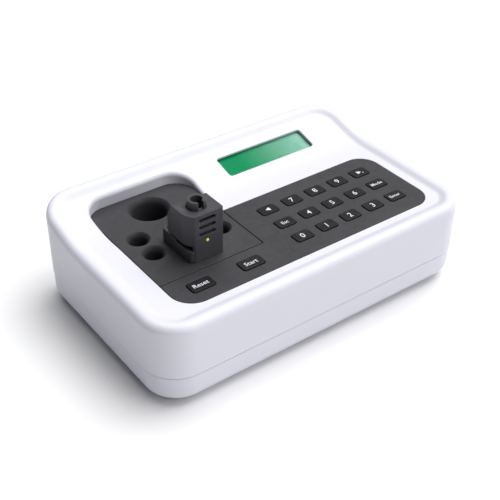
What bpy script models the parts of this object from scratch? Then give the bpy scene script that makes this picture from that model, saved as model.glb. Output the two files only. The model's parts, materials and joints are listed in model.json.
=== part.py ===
"""Desk-top photometric analyser: white two-part case, keypad, incubation wells, measuring head, LCD.

Lengths are in millimetres and are turned into metres when a mesh is made. Heights count from the
underside of the casing, which stands FOOT_HEIGHT above the table on its rubber feet. X runs along
the front, Y to the back and Z up; the origin is under the middle of the casing.
"""
import math

import bmesh
import bpy
from mathutils import Matrix, Vector

MM = 0.001
GAP = 0.3
PAST = 5.0  # how far cutting solids reach beyond what they cut

# casing
CASE_WIDTH = 233.5
CASE_DEPTH = 146.5
CASE_RADIUS = 22.5
WALL = 2.5
FOOT_HEIGHT = 2.0
PARTING_Z = 19.7
PARTING_GAP = 0.5
LOWER_INSET = 0.4
BOTTOM_FILLET = 9.2
INNER_FILLET = (4.0, 5.0)
LIP_INSET = 2.8
LIP_WALL = 1.4
LIP_HEIGHT = 2.5
TOP_Z = 53.4
RIM_HEIGHT = 2.2
RIM_RADIUS = 4.8
RIM_CREST = 0.8
COVE_WIDTH = 6.5
DECK_START = 19.0
DECK_END = 37.0
DECK_SLOPE = 0.27
CORNER_SEGMENTS = 7
SIDE_STATIONS = (-40.0, 0.0, 19.0, 22.5, 26.0, 30.0, 33.5, 37.0, 42.0)

# panels in the top opening
PANEL_THICKNESS = 2.0
PANEL_GAP = 0.35
SEAM = 0.45
SKIRT_WALL = 2.2
SKIRT_DEPTH = 4.4
LEDGE_WIDTH = 2.5
OPEN_LEFT = -91.6
OPEN_RIGHT = 99.8
OPEN_FRONT = -56.7
OPEN_BACK = 11.0
BAY_RIGHT = -18.4
BAY_BACK = 57.8
SEAM_FRONT = -31.3
FRONT_LEFT_RADIUS = 15.0
RIGHT_RADIUS = 13.5
BAY_LEFT_RADIUS = 13.0
BAY_RIGHT_RADIUS = 15.0
INNER_RADIUS = 1.5

# keys
KEY_PITCH_X = 19.05
KEY_PITCH_Y = 17.29
KEY_ORIGIN = (5.08, -5.12)
KEY_SIZE = (12.5, 8.7)
WIDE_KEY_SIZE = (15.3, 9.3)
KEY_RADIUS = 1.8
KEY_PROUD = 0.45
KEY_EDGE = 0.35
KEY_FLANGE = 0.8
KEY_FLANGE_THICKNESS = 0.7
KEY_NAMES = (
    ("key_left", "key_7", "key_8", "key_9", "key_right"),
    ("key_esc", "key_4", "key_5", "key_6", "key_mode"),
    ("key_0", "key_1", "key_2", "key_3", "key_enter"),
)
WIDE_KEYS = {"reset_key": (-71.6, -43.2), "start_key": (-36.6, -43.4)}

# wells: centre, mouth radius, width of the flared lip; the lip leaves the panel at LIP_ANGLE
WELLS = (
    ((-54.7, 39.3), 13.9, 2.6),
    ((-77.4, 15.2), 7.6, 2.15),
    ((-77.0, -2.0), 7.6, 2.15),
    ((-30.3, -3.0), 7.6, 2.15),
    ((-30.3, 14.5), 7.6, 2.15),
)
LARGE_MOUTH = 10.0
LARGE_SEGMENTS = 24
SMALL_SEGMENTS = 16
WELL_DEPTH = 24.0
LIP_ANGLE = math.radians(55.0)
CUP_WALL = 1.2
CUP_CLEARANCE = 0.4

# incubation block under the wells
BLOCK = (-88.0, -20.5, -11.0, 54.0, 26.0, 48.6)
MAT = (-72.0, -34.0, 2.0, 46.0)
MAT_THICKNESS = 1.1
SENSOR_AT = (-66.0, 38.0)
SENSOR = (1.6, 6.0, 11.0)
SENSOR_HOLE = (2.0, 12.0)

# measuring head
HEAD_X = -54.55
HEAD_HALF = 11.95
HEAD_FRONT = -25.0
HEAD_BACK = -1.2
HEAD_TOP = 85.0
HEAD_LOW = 64.5
HEAD_TAPER = (3.6, 6.0)
HEAD_CHAMFER = 1.0
HEAD_WALL = 1.6
SLOPE_TOP_Y = -7.0
SLOPE_LOW_Z = 75.5
APRON_DEPTH = 2.1
BASE_HALF = 11.45
BASE_BACK = 6.6
BASE_TOP = 62.8
BASE_NOTCH_Z = 61.4
BASE_NOTCH_BACK = -9.0
BASE_CHAMFER = 2.0
BASE_WALL = 2.2
BASE_RIB = 1.0
BASE_FLOOR = 2.0
LOUVRE_X = -54.0
LOUVRE_SIZE = (11.2, 2.2)
LOUVRE_RADIUS = 0.6
LOUVRE_Z = (71.6, 76.4, 81.2)
LED_Z = 66.4
LED_RADIUS = 1.1
LED_FLANGE = 0.6
LED_FLANGE_THICKNESS = 1.1
LED_COLLAR_AT = 2.7
HOLDER = (-55.0, -15.0)
HOLDER_RADIUS = 5.6
HOLDER_BORE = 3.5
HOLDER_TOP = 90.0
HOLDER_LOW = 57.0
HOLDER_FLOOR = 1.5
HOLDER_EDGE = 0.5
HOLDER_SLOT = 1.8
PORT_Z = 69.0
PORT_RADIUS = 1.5
HEAD_SCREWS = ((HEAD_X - 6.5, -0.6), (HEAD_X + 6.5, -0.6))
HEAD_SCREW_HOLE = 1.7
HEAD_SCREW_HEAD = (2.5, 2.6, 4.4)
PASSAGE = (5.0, -4.0, 8.0)
LENS = (2.4, 1.2)
LAMP = (2.0, 1.4)
PHOTODIODE = (2.6, 2.2)
HEAD_BOARD = (9.0, -5.2, -4.0, 57.2, 72.0)

# display, in the plane of the sloping deck
LCD_CENTRE = (42.3, 46.05)
LCD_OPENING = (70.2, 17.7)
LCD_WINDOW = (73.4, 20.9)
LCD_LIP = 1.6
WINDOW_THICKNESS = 1.5
WINDOW_RADIUS = 2.0
BEZEL_SIZE = (78.0, 26.0)
BEZEL_ROOM = (72.4, 20.2)
BEZEL_DEPTH = 6.0
LCD_GLASS_SIZE = (71.6, 19.4)
LCD_GLASS = (0.4, 1.8)
BACKLIGHT = (2.5, 3.0)
LCD_BOARD_SIZE = (84.0, 34.0)
LCD_BOARD = (6.3, 1.6)

# main board and its switches
BOARD_Z = 44.4
BOARD_THICKNESS = 1.6
SWITCH_HALF = 3.0
SOLDERED = 0.3
BUZZER_AT = (-62.0, -44.0)
BOARD_CHIPS = ((40.0, -28.0, 9.0, 9.0, 2.4), (64.0, -20.0, 6.0, 4.0, 2.0), (10.0, -30.0, 6.0, 4.0, 2.0),
               (30.0, 2.0, 11.0, 2.6, 3.2), (74.0, 0.0, 6.0, 2.6, 6.0), (78.0, -38.0, 4.0, 3.0, 2.4))
KEY_TRAVEL = 0.8
BOARD_POSTS = ((-82.0, -50.0), (-54.0, -50.0), (-14.0, -50.0), (91.0, -50.0), (91.0, 3.0), (-12.0, 4.0))

KEY_CONNECTOR = (4.0, -40.5, -36.0, 3.5)
BUZZER = (5.8, 6.5)
BOARD_INSET = (6.0, 4.0, 3.5, 2.5)

POWER_BOARD = (34.0, 96.0, 18.0, 54.0)
POWER_Z = 8.0
CAPACITORS = ((52.0, 36.0), (64.5, 36.0))
CAPACITOR_SIZE = (5.0, 16.0)
PLUG_SIZE = (4.0, 2.6, 4.0)
HEAT_SINK_AT = (76.0, 28.0, 44.0)
HEAT_SINK_FINS = 6
FIN_PITCH = 2.9
FIN_THICKNESS = 1.2
HEAT_SINK_WEB = 2.0
HEAT_SINK_HEIGHT = 18.0
POWER_LEAD_AT = (46.5, 46.8)
BOARD_LEAD_AT = (60.0, 24.0)
POWER_POSTS = ((38.0, 22.0), (38.0, 50.0), (92.0, 22.0), (92.0, 50.0))
BLOCK_POSTS = ((-84.0, -7.5), (-83.0, 50.0), (-41.0, -7.5), (-25.5, 50.0))
PIN_RADIUS = 1.3
PIN_HEIGHT = 2.6
PIN_HOLE_RADIUS = 1.7
BOARD_POST_RADIUS = 3.0
BLOCK_POST_RADIUS = 3.2
LEAD_DIAMETERS = {"power_lead": 2.6, "board_lead": 3.0, "head_lead": 2.4}
RIBBON = (22.0, 38.0, 0.45)

# rear panel
REAR_OPENING = (-25.0, 85.0, 24.5, 48.5)
REAR_RADIUS = 3.0
REAR_Z = 36.5
REAR_FACE = CASE_DEPTH / 2 - WALL - GAP
REAR_THICKNESS = 1.8
FLANGE_THICKNESS = 1.4
SWITCH_X = 72.0
INLET_X = 42.0
DATA_X = 10.0
REAR_LAP = (3.0, 2.5)
SOCKET_DEPTH = 16.0
INLET_FLANGE = (14.0, 16.0)
INLET_BODY = (11.0, 13.0)
INLET_BORE = (3.4, 9.5)
INLET_PIN = (1.0, 1.5)
DATA_FLANGE = 17.0
DATA_BODY_RADIUS = 7.0
DATA_BORE = (4.6, 7.0)
SWITCH_FLANGE = (15.0, 21.0)
SWITCH_BODY = (13.0, 19.0)
SWITCH_ROOM = (10.6, 16.6, 8.5)
ROCKER_TILT = 10.0
ROCKER_PIVOT_Y = REAR_FACE + GAP - 0.6
ROCKER_HALF_WIDTH = 5.0
# side view of the rocker about its axis: out of the rear face, then up
ROCKER_PROFILE = ((1.3, -7.7), (0.6, -3.0), (0.4, 0.0), (0.6, 3.0), (1.3, 7.7), (-1.5, 7.6),
                  (-4.0, 4.5), (-4.5, 0.0), (-4.0, -4.5), (-1.5, -7.6))

# fixings and feet
SCREW_AT = (102.6, 58.6)
SCREW_RADIUS = 1.35
SCREW_HEAD_RADIUS = 3.1
SCREW_HEAD_Z = (3.2, 5.6)
SCREW_TIP_Z = 31.0
SCREW_WELL = (3.6, 6.0)
SCREW_PASSAGE = 1.9
SCREW_HOLE = (1.7, 34.0)
POST_RADIUS = 4.5
POST_LOW_Z = PARTING_Z + 0.7
BOSS_TOP_Z = PARTING_Z + 0.3
BOSS_RADIUS = 5.5
FOOT_AT = (86.0, 42.0)
FOOT_RADIUS = 8.0
FOOT_EDGE = (1.2, 0.4, 0.8)
FOOT_RECESS = 1.0
VENT_COUNT = 5
VENT_START = (45.0, 32.0)
VENT_PITCH = 7.0
VENT_SIZE = (3.0, 30.0)
VENT_RADIUS = 1.4
LABEL_SIZE = (60.0, 30.0)
LABEL_AT = (-30.0, 0.0)
LABEL_RADIUS = 2.0
LABEL_RECESS = 0.6
LABEL_Z = (0.05, 0.3)

CORNERS = ("front_left", "back_left", "front_right", "back_right")

COLOURS = {
    "white_plastic": ((0.84, 0.84, 0.88), 0.42, 0.0),
    "dark_plastic": ((0.075, 0.072, 0.08), 0.5, 0.0),
    "key_rubber": ((0.015, 0.015, 0.017), 0.5, 0.0),
    "head_plastic": ((0.06, 0.058, 0.064), 0.45, 0.0),
    "black_plastic": ((0.02, 0.02, 0.02), 0.45, 0.0),
    "rubber": ((0.03, 0.03, 0.03), 0.85, 0.0),
    "aluminium": ((0.75, 0.76, 0.78), 0.35, 1.0),
    "steel": ((0.6, 0.6, 0.62), 0.3, 1.0),
    "board_green": ((0.02, 0.16, 0.07), 0.4, 0.0),
    "lcd_green": ((0.0, 0.3, 0.1), 0.25, 0.0),
    "clear_window": ((0.9, 0.95, 0.93), 0.05, 0.0),
    "lamp_lens": ((0.6, 0.75, 0.05), 0.2, 0.0),
    "glass": ((0.85, 0.9, 0.95), 0.05, 0.0),
    "heater_orange": ((0.6, 0.25, 0.03), 0.5, 0.0),
    "cable_grey": ((0.35, 0.35, 0.37), 0.6, 0.0),
    "label_silver": ((0.6, 0.6, 0.6), 0.4, 0.3),
    "backlight_white": ((0.85, 0.9, 0.8), 0.5, 0.0),
}


# ---------------------------------------------------------------- scene, materials and objects

def clear_scene():
    for obj in list(bpy.data.objects):
        bpy.data.objects.remove(obj, do_unlink=True)


def make_material(name):
    colour, roughness, metallic = COLOURS[name]
    material = bpy.data.materials.new(name)
    material.use_nodes = True
    shader = material.node_tree.nodes["Principled BSDF"]
    shader.inputs["Base Color"].default_value = (*colour, 1.0)
    shader.inputs["Roughness"].default_value = roughness
    shader.inputs["Metallic"].default_value = metallic
    return material


def link_mesh(name, bm, material, origin=(0.0, 0.0, 0.0), smooth_angle=35.0):
    """Turn a bmesh in millimetres into an object in metres, standing on the feet's height."""
    bmesh.ops.recalc_face_normals(bm, faces=bm.faces)
    bmesh.ops.scale(bm, vec=(MM, MM, MM), verts=bm.verts)
    mesh = bpy.data.meshes.new(name)
    bm.to_mesh(mesh)
    bm.free()
    mesh.shade_smooth()
    mesh.set_sharp_from_angle(angle=math.radians(smooth_angle))
    obj = bpy.data.objects.new(name, mesh)
    bpy.context.scene.collection.objects.link(obj)
    obj.parent = STAND
    obj.location = Vector(origin) * MM
    if material:
        mesh.materials.append(MATERIALS[material])
    else:
        obj.hide_render = True
        obj.display_type = "WIRE"
    return obj


def boolean(obj, other, operation="DIFFERENCE"):
    modifier = obj.modifiers.new(operation.title(), "BOOLEAN")
    modifier.operation = operation
    modifier.object = other
    modifier.solver = "EXACT"
    return obj


# ---------------------------------------------------------------- outlines

def rounded_polygon(corners, segments=4):
    """Points of a polygon with right-angled corners (x, y, radius), each turned into an arc."""
    points = []
    count = len(corners)
    for i, (x, y, radius) in enumerate(corners):
        here = Vector((x, y))
        before = Vector(corners[i - 1][:2])
        after = Vector(corners[(i + 1) % count][:2])
        incoming = (here - before).normalized()
        outgoing = (after - here).normalized()
        if radius < 0.1:
            points.append(here)
            continue
        centre = here - incoming * radius + outgoing * radius
        for step in range(segments + 1):
            angle = math.pi / 2 * step / segments
            points.append(centre + radius * (math.sin(angle) * incoming - math.cos(angle) * outgoing))
    return points


def rounded_box(width, height, radius, segments=3, centre=(0.0, 0.0)):
    x, y = width / 2, height / 2
    corners = [(-x, -y, radius), (x, -y, radius), (x, y, radius), (-x, y, radius)]
    shift = Vector(centre)
    return [point + shift for point in rounded_polygon(corners, segments)]


def circle(radius, segments, centre=(0.0, 0.0)):
    turn = 2 * math.pi / segments
    return [Vector((centre[0] + radius * math.cos(turn * i), centre[1] + radius * math.sin(turn * i)))
            for i in range(segments)]


def opening_outline(offset, segments=5):
    """Outline of the opening in the top: the keypad with the sample bay behind its left part."""
    left, right = OPEN_LEFT - offset, OPEN_RIGHT + offset
    front, back = OPEN_FRONT - offset, OPEN_BACK + offset
    bay_right, bay_back = BAY_RIGHT + offset, BAY_BACK + offset
    return rounded_polygon([
        (left, front, FRONT_LEFT_RADIUS + offset),
        (right, front, RIGHT_RADIUS + offset),
        (right, back, RIGHT_RADIUS + offset),
        (bay_right, back, max(INNER_RADIUS - offset, 0.0)),
        (bay_right, bay_back, BAY_RIGHT_RADIUS + offset),
        (left, bay_back, BAY_LEFT_RADIUS + offset),
    ], segments)


def deck_height(y):
    """Height of the top surface: flat at the keypad, then a curve up into the sloping deck."""
    run = DECK_END - DECK_START
    if y <= DECK_START:
        return TOP_Z
    if y <= DECK_END:
        return TOP_Z + DECK_SLOPE * (y - DECK_START) ** 2 / (2 * run)
    return TOP_Z + DECK_SLOPE * run / 2 + DECK_SLOPE * (y - DECK_END)


# ---------------------------------------------------------------- solids

def add_loft(bm, rings):
    """Skin a stack of equal rings of 3-D points and close both ends."""
    rows = [[bm.verts.new(point) for point in ring] for ring in rings]
    for lower, upper in zip(rows, rows[1:]):
        for i in range(len(lower)):
            j = (i + 1) % len(lower)
            bm.faces.new((lower[i], lower[j], upper[j], upper[i]))
    bm.faces.new(list(reversed(rows[0])))
    bm.faces.new(rows[-1])
    return rows


def add_prism(bm, outline, low, high):
    return add_loft(bm, [[(p[0], p[1], z) for p in outline] for z in (low, high)])


def add_box(bm, x0, x1, y0, y1, z0, z1):
    return add_prism(bm, [(x0, y0), (x1, y0), (x1, y1), (x0, y1)], z0, z1)


def add_turned(bm, profile, segments, centre=(0.0, 0.0)):
    """Turn a profile of (radius, height) about a vertical axis; radius 0 closes an end."""
    rows = []
    for radius, height in profile:
        if radius == 0.0:
            rows.append([bm.verts.new((centre[0], centre[1], height))])
        else:
            rows.append([bm.verts.new((p.x, p.y, height)) for p in circle(radius, segments, centre)])
    for low, high in zip(rows, rows[1:]):
        for i in range(segments):
            j = (i + 1) % segments
            if len(low) == 1:
                bm.faces.new((low[0], high[i], high[j]))
            elif len(high) == 1:
                bm.faces.new((low[i], low[j], high[0]))
            else:
                bm.faces.new((low[i], low[j], high[j], high[i]))


def prism(name, outline, low, high, material, origin=(0.0, 0.0, 0.0)):
    bm = bmesh.new()
    add_prism(bm, outline, low, high)
    return link_mesh(name, bm, material, origin)


def block(name, bounds, material):
    bm = bmesh.new()
    add_box(bm, *bounds)
    return link_mesh(name, bm, material)


def turned(name, profile, places, segments, material):
    """Turned solids standing at one or more places."""
    bm = bmesh.new()
    for place in places:
        add_turned(bm, profile, segments, place)
    return link_mesh(name, bm, material)


def lay_along(bm, axis, at):
    """Turn a bmesh built along +Z so that it runs along +X or +Y, and move it to a place."""
    if axis == "X":
        turn = Matrix.Rotation(math.pi / 2, 4, "Y")
    else:
        turn = Matrix.Rotation(-math.pi / 2, 4, "X")
    bmesh.ops.transform(bm, matrix=Matrix.Translation(at) @ turn, verts=bm.verts)


def turned_along(name, profile, segments, axis, at, material):
    bm = bmesh.new()
    add_turned(bm, profile, segments)
    lay_along(bm, axis, at)
    return link_mesh(name, bm, material)


def extrude_side(name, profile, x0, x1, material, origin=(0.0, 0.0, 0.0)):
    """Extrude an outline of (y, z) points along X."""
    bm = bmesh.new()
    add_loft(bm, [[(x, p[0], p[1]) for p in profile] for x in (x0, x1)])
    return link_mesh(name, bm, material, origin)


def smooth_route(points, steps):
    """Catmull-Rom curve through points, as a list of positions."""
    knots = [Vector(p) for p in points]
    knots = [2 * knots[0] - knots[1]] + knots + [2 * knots[-1] - knots[-2]]
    route = []
    for a, b, c, d in zip(knots, knots[1:], knots[2:], knots[3:]):
        for step in range(steps):
            t = step / steps
            route.append(0.5 * ((2 * b) + (c - a) * t + (2 * a - 5 * b + 4 * c - d) * t ** 2
                                + (3 * b - a - 3 * c + d) * t ** 3))
    route.append(knots[-2])
    return route


def lead(name, points, steps=5):
    """A round lead held inside the casing, as a curve with a bevel."""
    curve = bpy.data.curves.new(name, "CURVE")
    curve.dimensions = "3D"
    curve.bevel_depth = LEAD_DIAMETERS[name] / 2 * MM
    curve.bevel_resolution = 2
    curve.use_fill_caps = True
    route = smooth_route(points, steps)
    spline = curve.splines.new("POLY")
    spline.points.add(len(route) - 1)
    for point, place in zip(spline.points, route):
        point.co = (*(place * MM), 1.0)
    curve.materials.append(MATERIALS["cable_grey"])
    obj = bpy.data.objects.new(name, curve)
    bpy.context.scene.collection.objects.link(obj)
    obj.parent = STAND
    return obj


# ---------------------------------------------------------------- casing

def case_ring(inset, height):
    """One ring of the casing's plan, inset from its outline; height is a function of y."""
    radius = CASE_RADIUS - inset
    centre_x = CASE_WIDTH / 2 - CASE_RADIUS
    centre_y = CASE_DEPTH / 2 - CASE_RADIUS
    half = []
    for step in range(CORNER_SEGMENTS + 1):
        angle = math.pi / 2 * step / CORNER_SEGMENTS
        half.append((centre_x + radius * math.sin(angle), -centre_y - radius * math.cos(angle)))
    half += [(CASE_WIDTH / 2 - inset, y) for y in SIDE_STATIONS]
    for step in range(CORNER_SEGMENTS + 1):
        angle = math.pi / 2 * step / CORNER_SEGMENTS
        half.append((centre_x + radius * math.cos(angle), centre_y + radius * math.sin(angle)))
    right = [(x, y, height(y)) for x, y in half]
    left = [(-x, y, height(y)) for x, y in reversed(half)]
    return right + left


def case_solid(name, rings, material):
    """Skin the rings of a casing and close both ends with strips that follow the deck."""
    bm = bmesh.new()
    rows = [[bm.verts.new(point) for point in ring] for ring in rings]
    count = len(rows[0])
    for lower, upper in zip(rows, rows[1:]):
        for i in range(count):
            j = (i + 1) % count
            bm.faces.new((lower[i], lower[j], upper[j], upper[i]))
    for row in (rows[0], rows[-1]):
        for i in range(count // 2 - 1):
            bm.faces.new((row[i], row[i + 1], row[count - 2 - i], row[count - 1 - i]))
    return link_mesh(name, bm, material)


def flat(z):
    return lambda y: z


def above_deck(rise):
    return lambda y: deck_height(y) + rise


def make_upper_case():
    rings = [case_ring(0.0, flat(PARTING_Z + PARTING_GAP / 2)),
             case_ring(0.0, above_deck(RIM_HEIGHT - RIM_RADIUS))]
    for step in (1, 2, 3):
        angle = math.pi / 2 * step / 3
        inset = RIM_RADIUS * (1 - math.cos(angle))
        rings.append(case_ring(inset, above_deck(RIM_HEIGHT - RIM_RADIUS * (1 - math.sin(angle)))))
    crest = RIM_RADIUS + RIM_CREST
    for step in range(4):
        share = step / 3
        rise = RIM_HEIGHT * (1 + math.cos(math.pi * share)) / 2
        rings.append(case_ring(crest + COVE_WIDTH * share, above_deck(rise)))
    case = case_solid("upper_case", rings, "white_plastic")

    hollow = case_solid("cut_upper_hollow", [
        case_ring(WALL, flat(PARTING_Z - 1.0)), case_ring(WALL, above_deck(-WALL))], None)
    skirt = prism("keep_skirt", opening_outline(SKIRT_WALL), TOP_Z - SKIRT_DEPTH, TOP_Z + 4 * PAST, None)
    boolean(hollow, skirt)
    posts = bmesh.new()
    for x in (-SCREW_AT[0], SCREW_AT[0]):
        for y in (-SCREW_AT[1], SCREW_AT[1]):
            add_prism(posts, circle(POST_RADIUS, 12, (x, y)), POST_LOW_Z, deck_height(y) - WALL / 2)
    boolean(hollow, link_mesh("keep_posts", posts, None))
    boolean(case, hollow)

    opening = prism("cut_opening", opening_outline(0.0), TOP_Z - PANEL_THICKNESS - GAP,
                    TOP_Z + 4 * PAST, None)
    ledge = prism("cut_ledge", opening_outline(-LEDGE_WIDTH), TOP_Z - 2 * PAST, TOP_Z + 2 * PAST, None)
    boolean(case, opening)
    boolean(case, ledge)

    display = bmesh.new()
    add_prism(display, rounded_box(*LCD_OPENING, WINDOW_RADIUS), -2 * PAST, 2 * PAST)
    tilt_to_deck(display)
    boolean(case, link_mesh("cut_display", display, None))
    seat = bmesh.new()
    seat_outline = rounded_box(LCD_WINDOW[0] + 2 * GAP, LCD_WINDOW[1] + 2 * GAP, WINDOW_RADIUS + GAP)
    add_prism(seat, seat_outline, -2 * PAST, -LCD_LIP)
    tilt_to_deck(seat)
    boolean(case, link_mesh("cut_window_seat", seat, None))

    rear = bmesh.new()
    x0, x1, z0, z1 = REAR_OPENING
    outline = rounded_box(x1 - x0, z1 - z0, REAR_RADIUS, 3, ((x0 + x1) / 2, -(z0 + z1) / 2))
    add_prism(rear, outline, -2 * PAST, 2 * PAST)
    lay_along(rear, "Y", (0.0, CASE_DEPTH / 2, 0.0))
    boolean(case, link_mesh("cut_rear", rear, None))
    radius, top = SCREW_HOLE
    low = PARTING_Z - PAST
    holes = turned("cut_post_holes", [(0.0, low), (radius, low), (radius, top), (0.0, top)],
                   corner_places(SCREW_AT), 8, None)
    boolean(case, holes)


def corner_places(at):
    return [(x, y) for x in (-at[0], at[0]) for y in (-at[1], at[1])]


def pinned_post(radius, seat):
    """A moulded post that carries a board at height seat, with a pin through the board's hole."""
    return [(0.0, WALL / 2), (radius, WALL / 2), (radius, seat - GAP), (PIN_RADIUS, seat - GAP),
            (PIN_RADIUS, seat + PIN_HEIGHT), (0.0, seat + PIN_HEIGHT)]


def make_lower_case():
    rings = []
    for step in range(5):
        angle = math.pi / 2 * step / 4
        inset = LOWER_INSET + BOTTOM_FILLET * (1 - math.sin(angle))
        rings.append(case_ring(inset, flat(BOTTOM_FILLET * (1 - math.cos(angle)))))
    top = PARTING_Z - PARTING_GAP / 2
    rings.append(case_ring(LOWER_INSET, flat(top)))
    rings.append(case_ring(LIP_INSET, flat(top)))
    rings.append(case_ring(LIP_INSET, flat(top + LIP_HEIGHT)))
    case = case_solid("lower_case", rings, "white_plastic")
    inner = LIP_INSET + LIP_WALL
    hollow = case_solid("cut_lower_hollow", [
        case_ring(inner + INNER_FILLET[0], flat(WALL)), case_ring(inner, flat(WALL + INNER_FILLET[1])),
        case_ring(inner, flat(top + 2 * PAST))], None)
    bosses = turned("keep_bosses", [(0.0, -PAST), (BOSS_RADIUS, -PAST), (BOSS_RADIUS, BOSS_TOP_Z),
                                    (0.0, BOSS_TOP_Z)], corner_places(SCREW_AT), 12, None)
    boolean(hollow, bosses)
    boolean(case, hollow)
    posts = bmesh.new()
    for places, radius, top_z in ((BOARD_POSTS, BOARD_POST_RADIUS, BOARD_Z),
                                  (POWER_POSTS, BOARD_POST_RADIUS, POWER_Z),
                                  (BLOCK_POSTS, BLOCK_POST_RADIUS, BLOCK[4])):
        for place in places:
            add_turned(posts, pinned_post(radius, top_z), 8, place)
    boolean(case, link_mesh("add_posts", posts, None), "UNION")
    radius, seat = SCREW_WELL
    high = BOSS_TOP_Z + 2 * PAST
    wells = turned("cut_screw_wells", [
        (0.0, -PAST), (radius, -PAST), (radius, seat), (SCREW_PASSAGE, seat),
        (SCREW_PASSAGE, high), (0.0, high)], corner_places(SCREW_AT), 12, None)
    boolean(case, wells)
    recess = turned("cut_foot_seats", [(0.0, -PAST), (FOOT_RADIUS + GAP, -PAST),
                                       (FOOT_RADIUS + GAP, FOOT_RECESS), (0.0, FOOT_RECESS)],
                    corner_places(FOOT_AT), 20, None)
    boolean(case, recess)
    vents = bmesh.new()
    for i in range(VENT_COUNT):
        centre = (VENT_START[0] + VENT_PITCH * i, VENT_START[1])
        add_prism(vents, rounded_box(*VENT_SIZE, VENT_RADIUS, 2, centre), -PAST, WALL + PAST)
    boolean(case, link_mesh("cut_vents", vents, None))
    seat = prism("cut_label_seat", rounded_box(*LABEL_SIZE, LABEL_RADIUS, 2, LABEL_AT), -PAST,
                 LABEL_RECESS, None)
    boolean(case, seat)


def make_case_fixings():
    low, high = SCREW_HEAD_Z
    screw = [(0.0, low), (SCREW_HEAD_RADIUS, low), (SCREW_HEAD_RADIUS, high), (SCREW_RADIUS, high),
             (SCREW_RADIUS, SCREW_TIP_Z), (0.0, SCREW_TIP_Z)]
    for corner, place in zip(CORNERS, corner_places(SCREW_AT)):
        turned(f"case_screw_{corner}", screw, [place], 10, "steel")
    sole, side, edge = FOOT_EDGE
    foot = [(0.0, -FOOT_HEIGHT), (FOOT_RADIUS - sole, -FOOT_HEIGHT),
            (FOOT_RADIUS - side, edge - FOOT_HEIGHT), (FOOT_RADIUS, FOOT_RECESS - GAP),
            (0.0, FOOT_RECESS - GAP)]
    for corner, place in zip(CORNERS, corner_places(FOOT_AT)):
        turned(f"foot_{corner}", foot, [place], 20, "rubber")
    label = rounded_box(LABEL_SIZE[0] - 2 * GAP, LABEL_SIZE[1] - 2 * GAP, LABEL_RADIUS - GAP, 2, LABEL_AT)
    prism("rating_label", label, *LABEL_Z, "label_silver")


# ---------------------------------------------------------------- keypad and sample panel

def key_places():
    places = {}
    for row, names in enumerate(KEY_NAMES):
        for column, name in enumerate(names):
            x = KEY_ORIGIN[0] + KEY_PITCH_X * column
            places[name] = (x, KEY_ORIGIN[1] - KEY_PITCH_Y * row, KEY_SIZE)
    for name, (x, y) in WIDE_KEYS.items():
        places[name] = (x, y, WIDE_KEY_SIZE)
    return places


def make_keypad_panel():
    low = TOP_Z - PANEL_THICKNESS
    left, right = OPEN_LEFT + PANEL_GAP, OPEN_RIGHT - PANEL_GAP
    front, back = OPEN_FRONT + PANEL_GAP, OPEN_BACK - PANEL_GAP
    seam_x = BAY_RIGHT - PANEL_GAP + SEAM
    outline = rounded_polygon([
        (left, front, FRONT_LEFT_RADIUS - PANEL_GAP), (right, front, RIGHT_RADIUS - PANEL_GAP),
        (right, back, RIGHT_RADIUS - PANEL_GAP), (seam_x, back, INNER_RADIUS),
        (seam_x, SEAM_FRONT - SEAM / 2, 0.0), (left, SEAM_FRONT - SEAM / 2, 0.0)], 5)
    panel = prism("keypad_panel", outline, low, TOP_Z, "dark_plastic")
    holes = bmesh.new()
    for x, y, size in key_places().values():
        width, height = (length + 2 * PANEL_GAP for length in size)
        hole = rounded_box(width, height, KEY_RADIUS + PANEL_GAP, 2, (x, y))
        add_prism(holes, hole, low - PAST, TOP_Z + PAST)
    boolean(panel, link_mesh("cut_keys", holes, None))


def make_keys():
    """Low rubber caps with a flange under the panel; each object's origin is the cap's centre."""
    levels = (
        (KEY_FLANGE, -PANEL_THICKNESS - GAP - KEY_FLANGE_THICKNESS),
        (KEY_FLANGE, -PANEL_THICKNESS - GAP),
        (0.0, -PANEL_THICKNESS - GAP),
        (0.0, KEY_PROUD - KEY_EDGE),
        (-KEY_EDGE, KEY_PROUD),
    )
    for name, (x, y, size) in key_places().items():
        bm = bmesh.new()
        rings = []
        for grow, z in levels:
            outline = rounded_box(size[0] + 2 * grow, size[1] + 2 * grow, KEY_RADIUS + grow, 2)
            rings.append([(p.x, p.y, z) for p in outline])
        add_loft(bm, rings)
        link_mesh(name, bm, "key_rubber", (x, y, TOP_Z))


def cup_profiles(mouth, lip):
    """Inside and outside of a well: a straight bore whose mouth flares out in an arc."""
    bore = mouth - lip
    floor = TOP_Z - WELL_DEPTH
    inner = [(0.0, floor), (bore - 1.0, floor), (bore, floor + 1.0)]
    flare = lip / (1 - math.cos(LIP_ANGLE))
    root = TOP_Z - flare * math.sin(LIP_ANGLE)
    for step in range(4):
        angle = LIP_ANGLE * step / 3
        inner.append((bore + flare * (1 - math.cos(angle)), root + flare * math.sin(angle)))
    inner += [(mouth + 1.0 / math.tan(LIP_ANGLE), TOP_Z + 1.0), (0.0, TOP_Z + 1.0)]
    high = TOP_Z - PANEL_THICKNESS / 2
    outer = [(0.0, floor - CUP_WALL), (bore + CUP_WALL, floor - CUP_WALL),
             (bore + CUP_WALL, high), (0.0, high)]
    return inner, outer


def well_segments(mouth):
    return LARGE_SEGMENTS if mouth > LARGE_MOUTH else SMALL_SEGMENTS


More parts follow.
